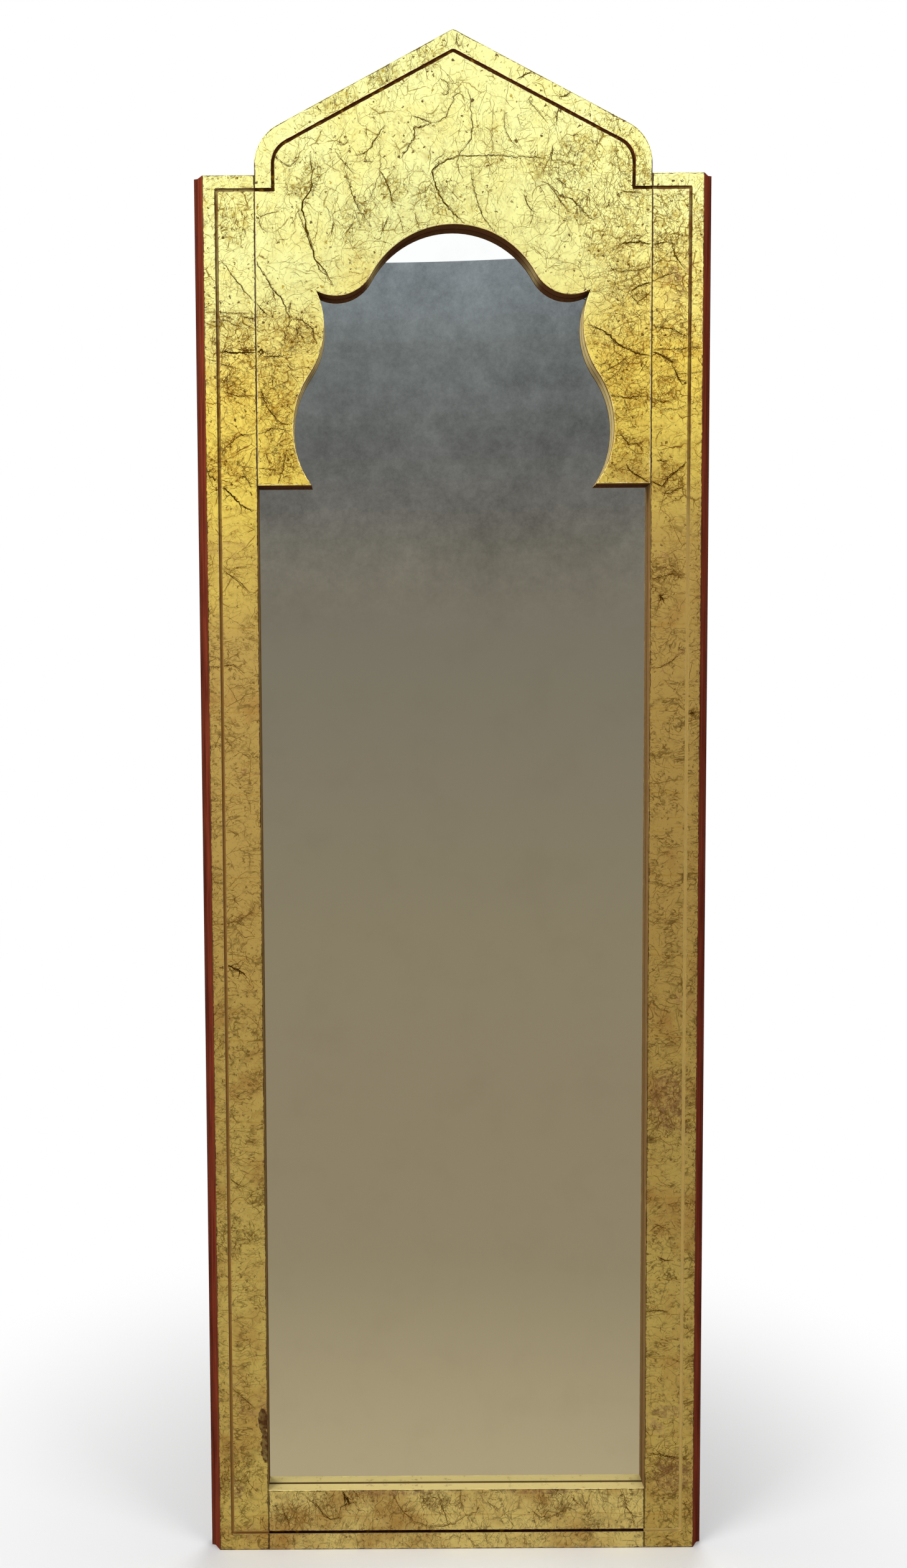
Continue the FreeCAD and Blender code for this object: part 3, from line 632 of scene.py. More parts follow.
# each drawn vein is its width, then x and z of each place it passes, in millimetres across and above the foot
drawnVeins = {
    "crest_board": (
        (1.0, -40, 1443, -33, 1441, -21, 1436),
        (1.1, -21, 1436, -33, 1432, -38, 1432, -38, 1422, -43, 1416, -44, 1412, -51, 1403),
        (0.9, -21, 1436, -15, 1437, -6, 1443, -5, 1448, 0, 1457, 0, 1461, 8, 1466),
        (0.8, -13, 1478, -8, 1476, -5, 1473, -4, 1468, -6, 1463, -9, 1462, -12, 1465),
        (1.2, 5, 1405, -5, 1401, -12, 1398, -18, 1394, -21, 1391, -20, 1387, -17, 1377,
         -11, 1363, -7, 1357, 0, 1350, 10, 1341),
        (0.6, -21, 1398, -16, 1402, -10, 1406, -8, 1411),
        (0.6, -19, 1383, -24, 1376, -27, 1371, -33, 1369, -42, 1367),
        (0.9, -71, 1391, -68, 1386, -65, 1379, -62, 1372, -59, 1359),
        (0.5, -61, 1366, -58, 1371, -52, 1375),
        (0.6, -72, 1420, -71, 1405, -72, 1390, -75, 1380, -78, 1372, -84, 1360),
        (0.7, -115, 1411, -112, 1405, -107, 1400, -97, 1388),
        (0.8, -107, 1395, -104, 1386, -99, 1370, -92, 1354, -87, 1347, -81, 1340),
        (1.0, -66, 1434, -70, 1430, -77, 1419, -80, 1413, -84, 1410, -90, 1407, -96, 1406),
        (0.7, -84, 1410, -86, 1403, -84, 1400, -78, 1400),
        (0.7, -113, 1417, -107, 1416, -103, 1418, -102, 1421),
        (1.3, -139, 1407, -139, 1400, -138, 1390, -138, 1374, -143, 1369, -147, 1364, -148, 1357,
         -146, 1348, -142, 1328, -136, 1308, -126, 1296, -117, 1281),
        (0.8, -152, 1359, -151, 1352, -146, 1337, -142, 1328),
        (0.8, -136, 1310, -134, 1304, -130, 1296, -124, 1292, -120, 1286),
        (0.8, -175, 1405, -169, 1402, -163, 1397, -159, 1396, -150, 1404),
        (0.7, -192, 1352, -188, 1348, -182, 1351, -170, 1353),
        (0.6, -188, 1348, -190, 1342, -187, 1337, -182, 1333),
        (0.7, -98, 1342, -102, 1336, -106, 1332),
        (0.9, -117, 1344, -119, 1331),
        (0.7, -37, 1352, -37, 1345, -34, 1339),
        (0.6, -54, 1350, -51, 1342, -49, 1333),
        (0.9, -63, 1348, -66, 1342, -71, 1330),
        (0.7, -128, 1447, -133, 1453),
        (0.9, -10, 1400, 5, 1405, 15, 1405, 30, 1405, 60, 1404, 88, 1402, 95, 1400),
        (0.5, 95, 1400, 104, 1400, 115, 1396, 130, 1394),
        (0.9, 12, 1470, 17, 1461, 17, 1450, 19, 1432, 17, 1422, 13, 1415, 5, 1405, 4, 1398,
         5, 1392, 9, 1383),
        (0.7, 50, 1447, 49, 1438, 50, 1430, 57, 1418, 63, 1412, 65, 1414),
        (0.7, 76, 1463, 73, 1457, 77, 1452, 88, 1440, 92, 1435),
        (1.0, 103, 1451, 101, 1444, 100, 1435),
        (1.1, 97, 1415, 96, 1407, 95, 1400),
        (0.6, 115, 1414, 113, 1408, 110, 1403),
        (0.8, 4, 1521, 3, 1514, 6, 1507),
        (1.2, 62, 1477, 68, 1480, 74, 1483, 78, 1484),
        (1.0, 114, 1465, 110, 1461, 103, 1460),
        (0.9, 16, 1392, 20, 1374, 25, 1356, 28, 1348, 38, 1334),
        (0.8, 85, 1380, 92, 1378, 97, 1372, 103, 1363, 113, 1351),
        (0.9, 92, 1378, 105, 1367, 115, 1364, 119, 1359, 130, 1347, 136, 1344, 144, 1347),
        (0.9, 69, 1368, 70, 1363, 73, 1357, 77, 1352, 80, 1351),
        (0.6, 78, 1351, 77, 1345, 74, 1338),
        (1.0, 100, 1383, 104, 1380, 110, 1376),
        (0.8, 160, 1367, 166, 1370, 182, 1369),
        (0.8, 152, 1363, 151, 1357, 149, 1354),
        (1.0, -193, 1312, -192, 1303, -184, 1290, -180, 1282, -170, 1272, -163, 1257, -159, 1250,
         -163, 1243, -166, 1236, -165, 1228),
        (0.9, -177, 1278, -176, 1271),
        (0.9, -159, 1268, -161, 1260, -162, 1256),
        (1.0, -159, 1250, -150, 1249, -143, 1245, -138, 1240, -137, 1233, -134, 1225),
        (0.7, -160, 1243, -154, 1240, -149, 1242),
        (0.8, -155, 1245, -153, 1236, -154, 1233),
        (0.9, -193, 1265, -186, 1257, -183, 1254),
        (1.4, -193, 1218, -188, 1221, -187, 1218, -192, 1214),
        (1.0, -187, 1214, -175, 1214, -165, 1215),
        (0.9, -192, 1175, -187, 1174, -181, 1174),
        (1.0, -190, 1185, -189, 1178, -187, 1173, -184, 1165, -178, 1157, -172, 1151, -163, 1148),
        (0.9, -193, 1140, -188, 1140, -180, 1144, -171, 1144, -162, 1142),
        (0.7, -186, 1123, -184, 1116, -182, 1110),
        (0.8, -165, 1125, -167, 1115, -169, 1103, -174, 1091),
        (0.6, -193, 1106, -185, 1105, -172, 1104),
        (1.3, 163, 1320, 168, 1321, 182, 1322, 190, 1320, 193, 1320),
        (0.7, 160, 1292, 170, 1294, 180, 1295, 193, 1299),
        (1.2, 193, 1283, 185, 1281, 178, 1278, 174, 1275),
        (0.8, 174, 1275, 175, 1269, 180, 1264, 188, 1270, 193, 1275),
        (1.3, 132, 1243, 140, 1240, 148, 1236, 158, 1227, 165, 1222, 180, 1215, 193, 1213),
        (0.7, 138, 1192, 150, 1199, 160, 1204, 170, 1212),
        (0.7, 145, 1185, 155, 1192, 163, 1199),
        (0.7, 183, 1197, 190, 1207),
        (0.9, 150, 1174, 160, 1174, 170, 1172, 180, 1174, 193, 1173),
        (1.0, 158, 1135, 165, 1136, 172, 1127, 180, 1128, 186, 1122),
        (1.2, 170, 1108, 173, 1102, 180, 1097, 187, 1093, 192, 1090),
    ),
    "left_stile": (
        (0.9, -228, 1307, -220, 1298, -216, 1291, -203, 1275, -195, 1267),
        (0.9, -244, 1257, -230, 1257, -215, 1256, -200, 1255),
        (0.7, -241, 1248, -222, 1249, -215, 1245, -207, 1242, -196, 1241),
        (1.0, -207, 1253, -200, 1251, -195, 1250),
        (1.6, -230, 1219, -214, 1218, -205, 1218, -195, 1218),
        (1.2, -212, 1221, -200, 1220, -195, 1221),
        (0.8, -243, 1213, -228, 1207, -212, 1203),
        (0.7, -222, 1199, -223, 1190, -221, 1170),
        (0.9, -230, 1182, -222, 1179, -212, 1176, -195, 1176),
        (0.9, -230, 1118, -226, 1126, -218, 1132, -210, 1138, -195, 1140),
        (1.6, -244, 1103, -240, 1098, -232, 1092, -222, 1082, -213, 1072, -204, 1066, -199, 1064),
        (1.0, -213, 1097, -206, 1098, -203, 1093, -200, 1087),
        (0.6, -215, 1110, -205, 1107, -195, 1106),
        (0.9, -230, 1008, -225, 1003, -211, 993, -204, 985),
        (0.5, -225, 1003, -215, 1009, -205, 1010),
        (0.9, -245, 912, -235, 911, -220, 913, -214, 909, -209, 904),
        (0.6, -230, 842, -226, 836, -221, 829),
        (0.7, -245, 652, -236, 653, -228, 654, -220, 656, -203, 665),
        (1.8, -238, 609, -229, 611, -218, 606, -212, 602),
        (0.7, -233, 395, -225, 388, -215, 383),
        (0.8, -231, 173, -222, 165, -213, 157, -206, 150),
    ),
    "right_stile": (
        (1.2, 195, 1320, 200, 1320, 208, 1322),
        (0.7, 195, 1300, 205, 1306),
        (1.2, 213, 1325, 214, 1316, 217, 1308, 226, 1296),
        (1.0, 195, 1284, 200, 1287, 208, 1290, 220, 1293),
        (1.0, 195, 1241, 208, 1239, 216, 1238, 222, 1234, 230, 1230),
        (0.6, 210, 1251, 205, 1243, 201, 1235),
        (0.6, 222, 1244, 232, 1246, 244, 1248),
        (1.3, 195, 1216, 203, 1214, 210, 1209, 216, 1206),
        (0.8, 196, 1218, 215, 1219, 235, 1220, 243, 1219),
        (1.3, 214, 1204, 218, 1197, 221, 1190, 225, 1184),
        (0.7, 200, 1188, 210, 1190, 220, 1195, 244, 1196),
        (0.9, 195, 1172, 206, 1167, 213, 1170),
        (0.7, 200, 1158, 208, 1161, 218, 1160, 227, 1164, 244, 1170),
        (1.0, 200, 1111, 210, 1110),
        (1.4, 230, 1110, 222, 1103, 216, 1098, 208, 1090, 205, 1086, 195, 1091),
        (1.0, 205, 1079, 213, 1079, 220, 1083, 228, 1086),
        (0.8, 195, 995, 205, 997, 215, 1000, 225, 998),
        (1.6, 203, 980, 208, 974),
        (0.8, 195, 907, 205, 908, 215, 913, 228, 924),
        (1.5, 234, 862, 239, 862),
        (0.8, 198, 335, 206, 341, 213, 338),
        (1.0, 206, 308, 214, 304, 222, 304),
        (1.0, 195, 250, 205, 252, 218, 250),
        (1.0, 196, 101, 210, 99, 225, 96, 240, 94),
    ),
    "bottom_rail": (
        (1.8, -118, 62, -113, 53, -110, 48),
        (1.2, -155, 57, -148, 50, -135, 36, -130, 32, -118, 34),
        (1.0, -182, 50, -178, 40, -172, 23),
        (0.7, -165, 40, -167, 23),
        (0.7, -155, 45, -157, 30),
        (1.1, -68, 62, -57, 42, -42, 29, -30, 24, -12, 25, 0, 29, 10, 36, 27, 40),
        (0.9, -20, 62, -16, 52, -10, 30, -8, 22),
        (1.0, 5, 62, 4, 52, 8, 42),
        (0.9, 25, 60, 28, 50, 35, 48, 45, 38),
        (1.0, -36, 58, -33, 48),
        (0.9, -105, 62, -100, 55),
        (0.7, 10, 16, 15, 8, 20, 2),
        (0.7, 30, 16, 32, 5),
        (0.7, 50, 16, 54, 4),
        (0.7, 70, 16, 73, 3),
        (0.6, -10, 9, -3, 15, 3, 12),
        (1.1, 172, 60, 175, 45, 181, 35, 185, 22),
        (0.6, 165, 42, 180, 50),
    ),
}


def corners(mesh):
    places = np.empty(len(mesh.vertices) * 3)
    mesh.vertices.foreach_get("co", places)
    return places.reshape(-1, 3)


def frontTriangles(name):
    # corners, in millimetres, of the node's triangles that lie in the gilded face
    mesh = nodes[name].data
    order = np.empty(len(mesh.loops), np.int32)
    mesh.loops.foreach_get("vertex_index", order)
    triangles = corners(mesh)[order.reshape(-1, 3)]
    flat = (np.abs(triangles[:, :, 1] - frontY) < 1e-5).all(1)
    return triangles[flat][:, :, [0, 2]] / mm


def onFace(points, triangles):
    # a point is on the face if it lies on one side of all three edges of some triangle
    first, second, third = triangles[:, 0], triangles[:, 1], triangles[:, 2]

    def side(block, a, b):
        run, rise = (b - a).T
        return run * (block[:, None, 1] - a[:, 1]) - rise * (block[:, None, 0] - a[:, 0])

    def covered(block):
        sides = np.stack([side(block, first, second), side(block, second, third), side(block, third, first)])
        return ((sides >= 0).all(0) | (sides <= 0).all(0)).any(1)

    flat = points.reshape(-1, 2)
    blocks = np.array_split(flat, len(flat) // 2000 + 1)
    return np.concatenate([covered(block) for block in blocks]).reshape(points.shape[:-1])


def drawnPaths(veins, count, rng):
    # each vein at equal steps along its polyline, shaken by part of a step
    paths = []
    for vein in veins:
        places = np.array(vein[1:], float).reshape(-1, 2)
        along = np.concatenate([[0.0], np.cumsum(np.hypot(*np.diff(places, axis=0).T))])
        steps = np.linspace(0.0, along[-1], count)
        path = np.stack([np.interp(steps, along, places[:, 0]), np.interp(steps, along, places[:, 1])], -1)
        paths.append(path + rng.normal(0.0, min(0.5, along[-1] / count * 0.4), path.shape))
    return np.array(paths), np.array([vein[0] for vein in veins])


def wanderPaths(start, heading, length, count, rng, kinked=0.3):
    # equal steps from start, whose heading is a fading sum of small turns and a few sharp kinks
    shape = (len(start), count)
    kinks = np.where(rng.random(shape) < kinked, rng.normal(0.0, 0.9, shape), 0.0)
    turns = rng.normal(0.0, 0.24, shape) + kinks
    gap = np.arange(count)[None, :] - np.arange(count)[:, None]
    memory = np.where(gap >= 0, 0.8 ** np.maximum(gap, 0), 0.0)
    angle = heading[:, None] + turns @ memory
    step = (length / count)[:, None, None]
    return start[:, None] + np.cumsum(np.stack([np.cos(angle), np.sin(angle)], -1) * step, 1)


def crowdedStarts(name, count, spare, triangles, rng):
    # places on the face, kept by chance: spare anywhere, more towards the middles of the crowded places
    low, high = triangles.reshape(-1, 2).min(0), triangles.reshape(-1, 2).max(0)
    crowds = np.array(boardLooks[name]["crowds"], float)
    tries = rng.uniform(low, high, (count * 8, 2))
    apart = np.linalg.norm(tries[:, None] - crowds[None, :, :2], axis=-1) / crowds[None, :, 2]
    chance = spare + np.exp(-apart ** 2).sum(1)
    return tries[(rng.random(len(tries)) < chance) & onFace(tries, triangles)][:count]


def flow(start, above, spread, rng):
    # headings near upright on the crest and the rail, near level on the legs and the stiles between
    upright = (start[:, 1] > above) | (start[:, 1] < railTop / mm)
    half = rng.integers(0, 2, len(start)) * np.pi
    return np.where(upright, np.pi / 2, 0.0) + half + rng.normal(0.0, spread, len(start))


def taper(path, rng, swell):
    # width along a vein: swell 1 is thickest in the middle, swell 0 thins from root to tip
    shape = path.shape[:2]
    along = np.linspace(0.0, 1.0, shape[1])[None, :]
    body = swell * (0.35 + 0.65 * np.sin(np.pi * along) ** 0.6) + (1 - swell) * (1.0 - 0.85 * along)
    rough = rng.normal(0.0, 0.22, shape)
    return body * (1.0 + 0.5 * (rough + np.roll(rough, 1, axis=1)))


def ridgeFaces(path, width, triangles, look):
    # profile of left edge, crown and right edge carried along every path; steps off the face are left out
    ahead = np.gradient(path, axis=1)
    ahead /= np.maximum(np.linalg.norm(ahead, axis=-1, keepdims=True), 1e-9)
    beside = np.stack([-ahead[..., 1], ahead[..., 0]], -1) * np.clip(width, 0.3, None)[..., None] / 2
    left, right = path + beside, path - beside
    good = onFace(left, triangles) & onFace(right, triangles)
    edgeY, crownY = frontY / mm + look["sink"], frontY / mm - look["rise"]
    rows = [np.stack([p[..., 0], np.full(p.shape[:-1], y), p[..., 1]], -1)
            for p, y in ((left, edgeY), (path, crownY), (right, edgeY))]
    verts = np.stack(rows, 2)
    index = np.arange(verts[..., 0].size).reshape(verts.shape[:3])
    near, far = index[:, :-1], index[:, 1:]
    quads = np.stack([near[..., :-1], near[..., 1:], far[..., 1:], far[..., :-1]], -1)
    # a quad turned over at a sharp kink is left out: its diagonals then cross the wrong way round
    flat = verts[..., [0, 2]]
    rising, falling = flat[:, 1:, 1:] - flat[:, :-1, :-1], flat[:, 1:, :-1] - flat[:, :-1, 1:]
    turn = rising[..., 0] * falling[..., 1] - rising[..., 1] * falling[..., 0]
    keep = (good[:, :-1] & good[:, 1:])[..., None] & (turn > 0)
    depth = width[..., None] * np.array([0.3, 1.2, 0.3])
    return verts.reshape(-1, 3), quads[keep], depth.reshape(-1)


def veinGroups(name, triangles, look, rng):
    # pairs of paths and widths
    steps = look["drawnSteps"]
    main, width = drawnPaths(drawnVeins[name], steps, rng)
    groups = [(main, look["swell"][name] * width[:, None] * taper(main, rng, 1.0))]
    # strands run beside the drawn veins and cross them, offset by a slow wave of their own
    count = len(main) * 2
    along = np.linspace(0.0, 1.0, steps)[None, :, None]
    phase = rng.uniform(0, 6.28, (2, count, 1, 2))[0]
    beat = rng.uniform(4, 14, (count, 1, 2))
    strand = np.tile(main, (2, 1, 1)) + look["strandReach"] * np.sin(beat * along + phase)
    strand = strand + rng.normal(0.0, 0.15, (count, 1, 2))
    wide = np.tile(width, 2)[:, None] * rng.uniform(*look["strandWidth"], (count, 1))
    groups.append((strand, wide * taper(strand, rng, 1.0)))
    # twigs leave the drawn veins at a slant
    parent = np.repeat(np.arange(len(main)), look["twigsPerVein"])
    at = rng.integers(2, steps - 3, len(parent))
    heading = np.arctan2(*(main[parent, at + 2] - main[parent, at]).T[::-1])
    heading += rng.choice([-1, 1], len(parent)) * rng.uniform(*look["twigSlant"], len(parent))
    length = rng.uniform(*look["twigLength"], len(parent))
    twig = wanderPaths(main[parent, at], heading, length, look["twigSteps"], rng)
    wide = width[parent] * rng.uniform(*look["twigWidth"], len(parent))
    groups.append((twig, wide[:, None] * taper(twig, rng, 0.0)))
    # hairs are long and thin, scraps short; both gather in the crowded places
    start = crowdedStarts(name, look["hairCounts"][name], 0.25, triangles, rng)
    least, beyond = look["hairLength"]
    length = least + rng.exponential(beyond, len(start))
    heading = flow(start, look["uprightAbove"], 0.6, rng)
    hair = wanderPaths(start, heading, length, look["hairSteps"], rng, 0.14)
    wide = rng.uniform(*look["hairWidth"], len(start))
    groups.append((hair, wide[:, None] * taper(hair, rng, 0.6)))
    start = crowdedStarts(name, look["scrapCounts"][name], 0.08, triangles, rng)
    least, beyond = look["scrapLength"]
    length = least + rng.exponential(beyond, len(start))
    heading = flow(start, look["uprightAbove"], 0.9, rng)
    scrap = wanderPaths(start, heading, length, look["scrapSteps"], rng)
    least, beyond, most = look["scrapWidth"]
    wide = np.minimum(least + rng.exponential(beyond, len(start)), most)
    groups.append((scrap, wide[:, None] * taper(scrap, rng, 0.5)))
    return groups


def keepDepth(piece, values):
    # one number per corner, which the material reads
    attribute = piece.data.attributes.new("depth", "FLOAT", "POINT")
    attribute.data.foreach_set("value", values.astype(np.float32))


def makeVeins(name, look, material, seed):
    triangles = frontTriangles(name)
    verts, quads, depths, total = [], [], [], 0
    for path, width in veinGroups(name, triangles, look, np.random.default_rng(seed)):
        places, faces, depth = ridgeFaces(path, width, triangles, look)
        verts.append(places)
        quads.append(faces + total)
        depths.append(depth)
        total += len(places)
    used, compact = np.unique(np.concatenate(quads), return_inverse=True)
    piece = newPiece(name + "_veins", np.concatenate(verts)[used] * mm, compact.reshape(-1, 4), material)
    keepDepth(piece, np.concatenate(depths)[used])
    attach(piece, "frame")
    print(name, "veins:", len(piece.data.polygons), "faces")


def veinFinish(look):
    # narrow stretches are amber, wide ones nearly black
    vein = Finish("veinResin")
    depth = vein.add("ShaderNodeAttribute", attribute_name="depth").outputs["Fac"]
    uneven = vein.between(vein.cloud(vein.place, 120.0, 3.0), -0.45, 0.5)
    share = vein.plus(vein.step(depth, 0.5, 2.0), uneven, True)
    low = vein.step(vein.z, *look["low"])
    pale, dark = vein.mix(low, look["pale"], look["paleLow"]), vein.mix(low, look["dark"], look["darkLow"])
    return vein.set(Base_Color=vein.mix(share, pale, dark), Roughness=0.7, Specular_IOR_Level=0.0)


veinMaterial = veinFinish(veinLook)
for veinSeed, boardName in enumerate(boardLooks, 11):
    makeVeins(boardName, veinLook, veinMaterial, veinSeed)

# arrises: an uneven line along every edge of the gilded face, dark at outer edges, dark at groove lips as
# painted shade, pale at the opening as worn leaf with a painted highlight; lengths in millimetres
arrisLook = {
    "step": 2.5,  # between two widths
    "rise": 0.03,
    "outline": (0.9, 0.6),  # mean width and its swing
    "lip": (0.3, 0.3),
    "opening": (0.9, 0.8),
    "lipFade": (1.25, 0.95, 0.45),  # heights between which a gilded groove's lips lose this much of their painted shade
    "grooveGap": 4.5,  # leaf this far across an edge means a groove
    "dark": tone(58, 34, 18),
    "pale": tone(236, 216, 150),
}


def faceOutline(triangles):
    # edges that only one triangle owns, and that triangle's third corner
    keys, ids = np.unique(np.round(triangles.reshape(-1, 2), 3), axis=0, return_inverse=True)
    ids = ids.reshape(-1, 3)
    edges = np.concatenate([ids[:, [0, 1]], ids[:, [1, 2]], ids[:, [2, 0]]])
    third = np.concatenate([ids[:, 2], ids[:, 0], ids[:, 1]])
    ordered = np.sort(edges, 1)
    names = ordered[:, 0] * len(keys) + ordered[:, 1]
    _, where, counts = np.unique(names, return_inverse=True, return_counts=True)
    single = counts[where.reshape(-1)] == 1
    return keys[edges[single]], keys[third[single]]


def sway(points, mean, swing):
    # width from the place alone, a sum of four sines, so that neighbours agree; never below nothing
    x, z = points.T
    waves = (np.sin(0.31 * x + 0.23 * z) + np.sin(0.83 * z - 0.57 * x + 1.3) + np.sin(1.7 * x + 1.1 * z + 0.4)
             + np.sin(0.09 * z + 0.13 * x + 2.1))
    return np.maximum(mean + swing * waves / 2.2, 0.02)


def makeArris(name, look, material):
    triangles = frontTriangles(name)
    ends, third = faceOutline(triangles)
    run = ends[:, 1] - ends[:, 0]
    length = np.linalg.norm(run, axis=1)
    inward = np.stack([-run[:, 1], run[:, 0]], -1) / length[:, None]
    flip = np.sign((inward * (third - ends[:, 0])).sum(1))
    inward *= flip[:, None]
    # kinds of edge: outline 0, lip of a groove 1, opening round the plate 2
    middle = ends.mean(1)
    x, z = middle.T
    opening = (np.abs(x) < jointX / mm + 0.5) & (z < plateTop / mm) & (z > railTop / mm - 0.5)
    groove = onFace(middle - inward * look["grooveGap"], triangles)
    kinds = np.where(groove, 1, np.where(opening, 2, 0))
    table = np.array([look["outline"], look["lip"], look["opening"]])
    # every edge cut into short runs; a quad per run, its inner side under the leaf
    counts = np.ceil(length / look["step"]).astype(int)
    which = np.repeat(np.arange(len(ends)), counts)
    order = np.arange(len(which)) - np.repeat(np.cumsum(counts) - counts, counts)
    near, far = (ends[which, 0] + run[which] * (part / counts[which])[:, None] for part in (order, order + 1))
    kind = kinds[which]
    mean, swing = table[kind].T
    nearIn, farIn = (side + inward[which] * sway(side, mean, swing)[:, None] for side in (near, far))
    turn = flip[which, None, None] > 0
    quads = np.where(turn, np.stack([near, far, farIn, nearIn], 1), np.stack([far, near, nearIn, farIn], 1))
    outY, inY = frontY / mm - look["rise"] / 2, frontY / mm + look["rise"] / 2
    depth = np.broadcast_to([outY, outY, inY, inY], quads.shape[:2])
    verts = np.stack([quads[..., 0], depth, quads[..., 1]], -1).reshape(-1, 3)
    piece = newPiece(name + "_arris", verts * mm, np.arange(len(verts)).reshape(-1, 4), material)
    high, low, lost = look["lipFade"]
    faded = np.interp(near[:, 1] * mm, (low, high), (lost, 0.0)) * (boardLooks[name]["grooveLeaf"] > 0)
    # depth 1 paints the dark line and 0 the pale one: painted shade on the lips, a painted highlight at the
    # opening
    keepDepth(piece, np.repeat(np.choose(kind, (1.0, 1.0 - faded, 0.0)), 4))
    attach(piece, "frame")


def arrisFinish(look):
    arris = Finish("arrisWearShadeHighlight")
    depth = arris.add("ShaderNodeAttribute", attribute_name="depth").outputs["Fac"]
    broken = arris.step(arris.cloud(arris.place, 150.0, 4.0, 0.7), 0.5, 0.62)
    colour = arris.mix(arris.most(depth, arris.times(broken, 0.8)), look["pale"], look["dark"])
    return arris.set(Base_Color=colour, Roughness=0.6, Specular_IOR_Level=0.15)


arrisMaterial = arrisFinish(arrisLook)
for boardName in boardLooks:
    makeArris(boardName, arrisLook, arrisMaterial)
print("arrises worn")

# mirror plate
plateLook = {
    "silver": (0.85, 0.87, 0.86, 1.0),
    "silverDull": (0.79, 0.80, 0.78, 1.0),
    "backPaint": tone(92, 94, 96),
}


def plateFinish(look):
    plate = Finish("silveredPlate")
    front = plate.step(plate.faceY, -0.4, -0.6)
    smear = plate.step(plate.cloud(plate.place, 18.0, 4.0, 0.6), 0.45, 0.75)
    silver = plate.mix(plate.times(smear, 0.5), look["silver"], look["silverDull"])
    colour = plate.mix(front, look["backPaint"], silver)
    return plate.set(Base_Color=colour, Metallic=front, Roughness=plate.between(front, 0.5, 0.0))


wear(plateFinish(plateLook), "mirror_plate")
print("plate silvered")

# back: hardboard, card, dowels, rubber and zinc-plated fittings
backLook = {
    "board": tone(104, 70, 42),
    "boardDark": tone(74, 48, 28),
    "mesh": 1.3 * mm,  # spacing of the weave pressed into the hardboard
    "mottled": {  # light, dark, stretch, scale, roughness, wearers
        "cushionCard": (tone(160, 128, 90), tone(132, 102, 68), (1, 1, 1), 260.0, 0.9, ("cushion_sheet",)),
        "dowelWood": (tone(205, 170, 122), tone(168, 130, 84), (0.08, 1, 1), 420.0, 0.7,
                      ("crest_dowels", "rail_dowels")),
        "softRubber": (tone(38, 38, 38), tone(66, 64, 62), (1, 1, 1), 330.0, 0.75,
                       ("setting_blocks", "left_bumper", "right_bumper")),
    },
    "zinc": tone(188, 188, 184),
    "zincDull": tone(150, 148, 140),
}


def hardboardFinish(look):
    board = Finish("hardboard")
    blotch = board.step(board.cloud(board.place, 14.0, 6.0, 0.65), 0.35, 0.7)
    fibre = board.step(board.cloud(board.place, 420.0, 3.0, 0.7), 0.4, 0.7)
    waves = [board.math("SINE", board.times(axis, 2 * math.pi / look["mesh"])) for axis in (board.x, board.z)]
    board.bump(board.times(*waves), 0.0002, 0.5)
    share = board.most(board.times(blotch, 0.7), board.times(fibre, 0.5))
    colour = board.mix(share, look["board"], look["boardDark"])
    return board.set(Base_Color=colour, Roughness=0.7, Specular_IOR_Level=0.25)


def mottledFinish(name, light, dark, stretch, scale, rough):
    piece = Finish(name)
    cloud = piece.cloud(piece.stretched(piece.place, stretch), scale, 5.0, 0.6)
    piece.bump(cloud, 0.0002, 0.3)
    return piece.set(Base_Color=piece.mix(piece.step(cloud, 0.35, 0.65), light, dark), Roughness=rough)


def zincFinish(look):
    # plated steel: pale crystals, duller in clouds
    zinc = Finish("zincPlate")
    crystal = zinc.split(zinc.cells(zinc.place, 900.0).outputs["Color"])[0]
    dull = zinc.step(zinc.cloud(zinc.place, 160.0, 4.0, 0.65), 0.4, 0.7)
    colour = zinc.mix(zinc.most(zinc.times(crystal, 0.4), dull), look["zinc"], look["zincDull"])
    return zinc.set(Base_Color=colour, Metallic=0.9, Roughness=zinc.between(dull, 0.3, 0.5))


wear(hardboardFinish(backLook), "backing_panel")
for finishName, (*mottle, wearers) in backLook["mottled"].items():
    wear(mottledFinish(finishName, *mottle), *wearers)
zincPlate = zincFinish(backLook)
wear(zincPlate, "left_hanger_strap", "right_hanger_strap", "left_hanger_ring", "right_hanger_ring")

# screws: cross-slotted heads on threaded shanks, one surface turned about each screw's axis; in millimetres
screwLook = {
    "counts": {"backing_screws": 14, "hanger_screws": 4},
    "headRadius": 3.2,
    "headHeight": 1.8,
    "flatShare": 0.7,  # of the head's radius, inside its round rim
    "dome": 0.1,
    "rimShare": 0.45,  # the round rim ends at this share of the head's height
    "shankRadius": 1.5,
    "shankLength": 12.0,
    "tipLength": 2.0,
    "pitch": 1.3,
    "threadDepth": 0.35,
    "slotWidth": 0.95,
    "slotReach": 1.9,
    "slotDepth": 1.1,
    "slotWall": 0.12,  # run of the slot's walls at its sides and its ends
    "slotEnd": 0.2,
    "rows": (22, 6, 48),  # on the flat, the rim and the shank
    "sectors": 64,
}


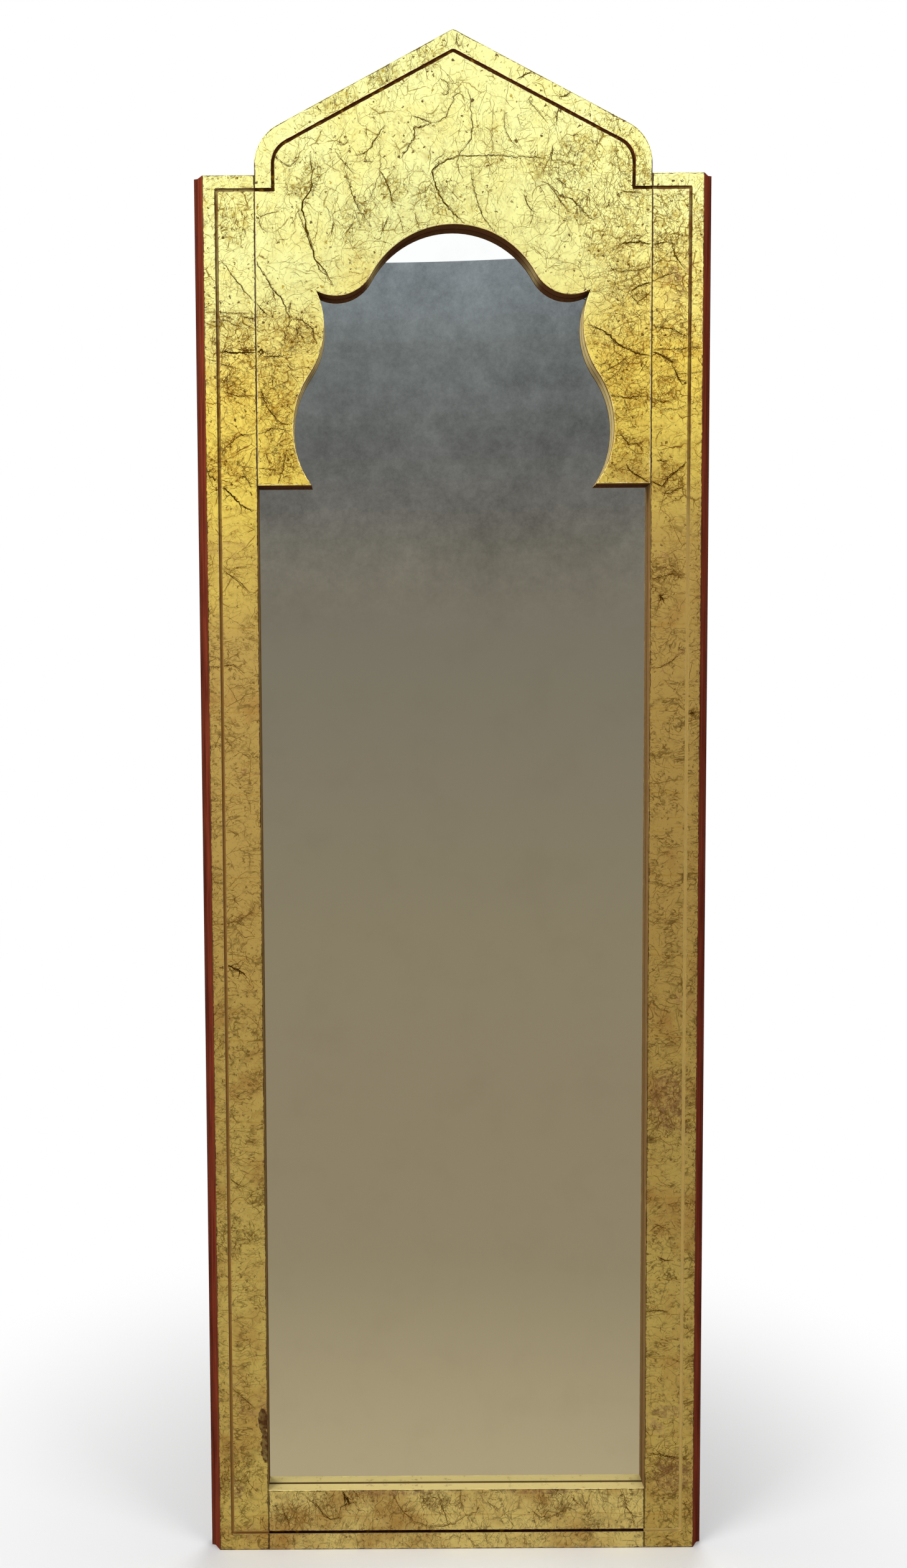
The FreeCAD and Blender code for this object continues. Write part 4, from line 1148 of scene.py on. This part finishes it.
def screwSurface(look):
    # rows go from the middle of the head over its rim and down the shank; height is above the seat
    head, high = look["headRadius"], look["headHeight"]
    shank, bottom = look["shankRadius"], look["shankLength"]
    flat, dome, rim = head * look["flatShare"], look["dome"], look["rimShare"]
    flatRows, rimRows, shankRows = look["rows"]
    out = np.linspace(0.0, 1.0, flatRows)
    quarter = np.linspace(0.0, np.pi / 2, rimRows + 1)[1:]
    down = np.linspace(0.0, bottom - look["tipLength"], shankRows)
    radius = np.concatenate([flat * out, flat + (head - flat) * np.sin(quarter), [head, shank],
                             np.full(shankRows, shank), [0.0]])
    height = np.concatenate([high - dome * out ** 2, (high - dome) * (rim + (1 - rim) * np.cos(quarter)),
                             [0.0, 0.0], -down, [-bottom]])
    angle = np.linspace(0.0, 2 * np.pi, look["sectors"], endpoint=False)
    # thread: the shank's radius dips by a triangle wave of height and angle
    turn = np.abs(((height[:, None] / look["pitch"] + angle[None, :] / (2 * np.pi)) % 1.0) * 2 - 1)
    threaded = (height < 0) & (height > -bottom)
    radius = radius[:, None] - np.where(threaded, look["threadDepth"], 0.0)[:, None] * turn
    across, up = radius * np.cos(angle), radius * np.sin(angle)
    # slots: inside either arm of the cross the head sinks, deepest in the middle
    narrow = np.minimum(np.abs(across), np.abs(up))
    reach = np.maximum(np.abs(across), np.abs(up))
    wall = np.clip((look["slotWidth"] / 2 - narrow) / look["slotWall"], 0.0, 1.0)
    wall = wall * np.clip((look["slotReach"] - reach) / look["slotEnd"], 0.0, 1.0)
    sunk = look["slotDepth"] * wall * (1.0 - 0.4 * reach / look["slotReach"])
    height = height[:, None] - np.where(height[:, None] > high * 0.8, sunk, 0.0)
    return across, height, up


def makeScrews(name, look):
    solids = corners(nodes[name].data).reshape(look["counts"][name], -1, 3) / mm  # they follow one another
    axis = (solids.min(1) + solids.max(1)) / 2
    axis[:, 1] = solids[:, :, 1].max(1) - look["headHeight"]
    across, height, up = screwSurface(look)
    tilt = np.random.default_rng(5).uniform(0.0, np.pi / 2, len(axis))
    cos, sin = np.cos(tilt)[:, None, None], np.sin(tilt)[:, None, None]
    height = np.broadcast_to(height, (len(axis),) + height.shape)
    verts = np.stack([across * cos - up * sin, height, across * sin + up * cos], -1) + axis[:, None, None]
    index = np.arange(verts[..., 0].size).reshape(verts.shape[:3])
    beside = np.roll(index, -1, axis=2)
    quads = np.stack([index[:, :-1], beside[:, :-1], beside[:, 1:], index[:, 1:]], -1)
    piece = newPiece(name + "_cut", verts.reshape(-1, 3) * mm, quads.reshape(-1, 4), zincPlate)
    merged = bmesh.new()  # the points at the two poles become one each
    merged.from_mesh(piece.data)
    bmesh.ops.remove_doubles(merged, verts=merged.verts, dist=1e-6)
    merged.to_mesh(piece.data)
    merged.free()
    piece.data.polygons.foreach_set("use_smooth", np.ones(len(piece.data.polygons), bool))
    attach(piece, "frame")
    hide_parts(name)


for screwName in screwLook["counts"]:
    makeScrews(screwName, screwLook)
print("back fitted")
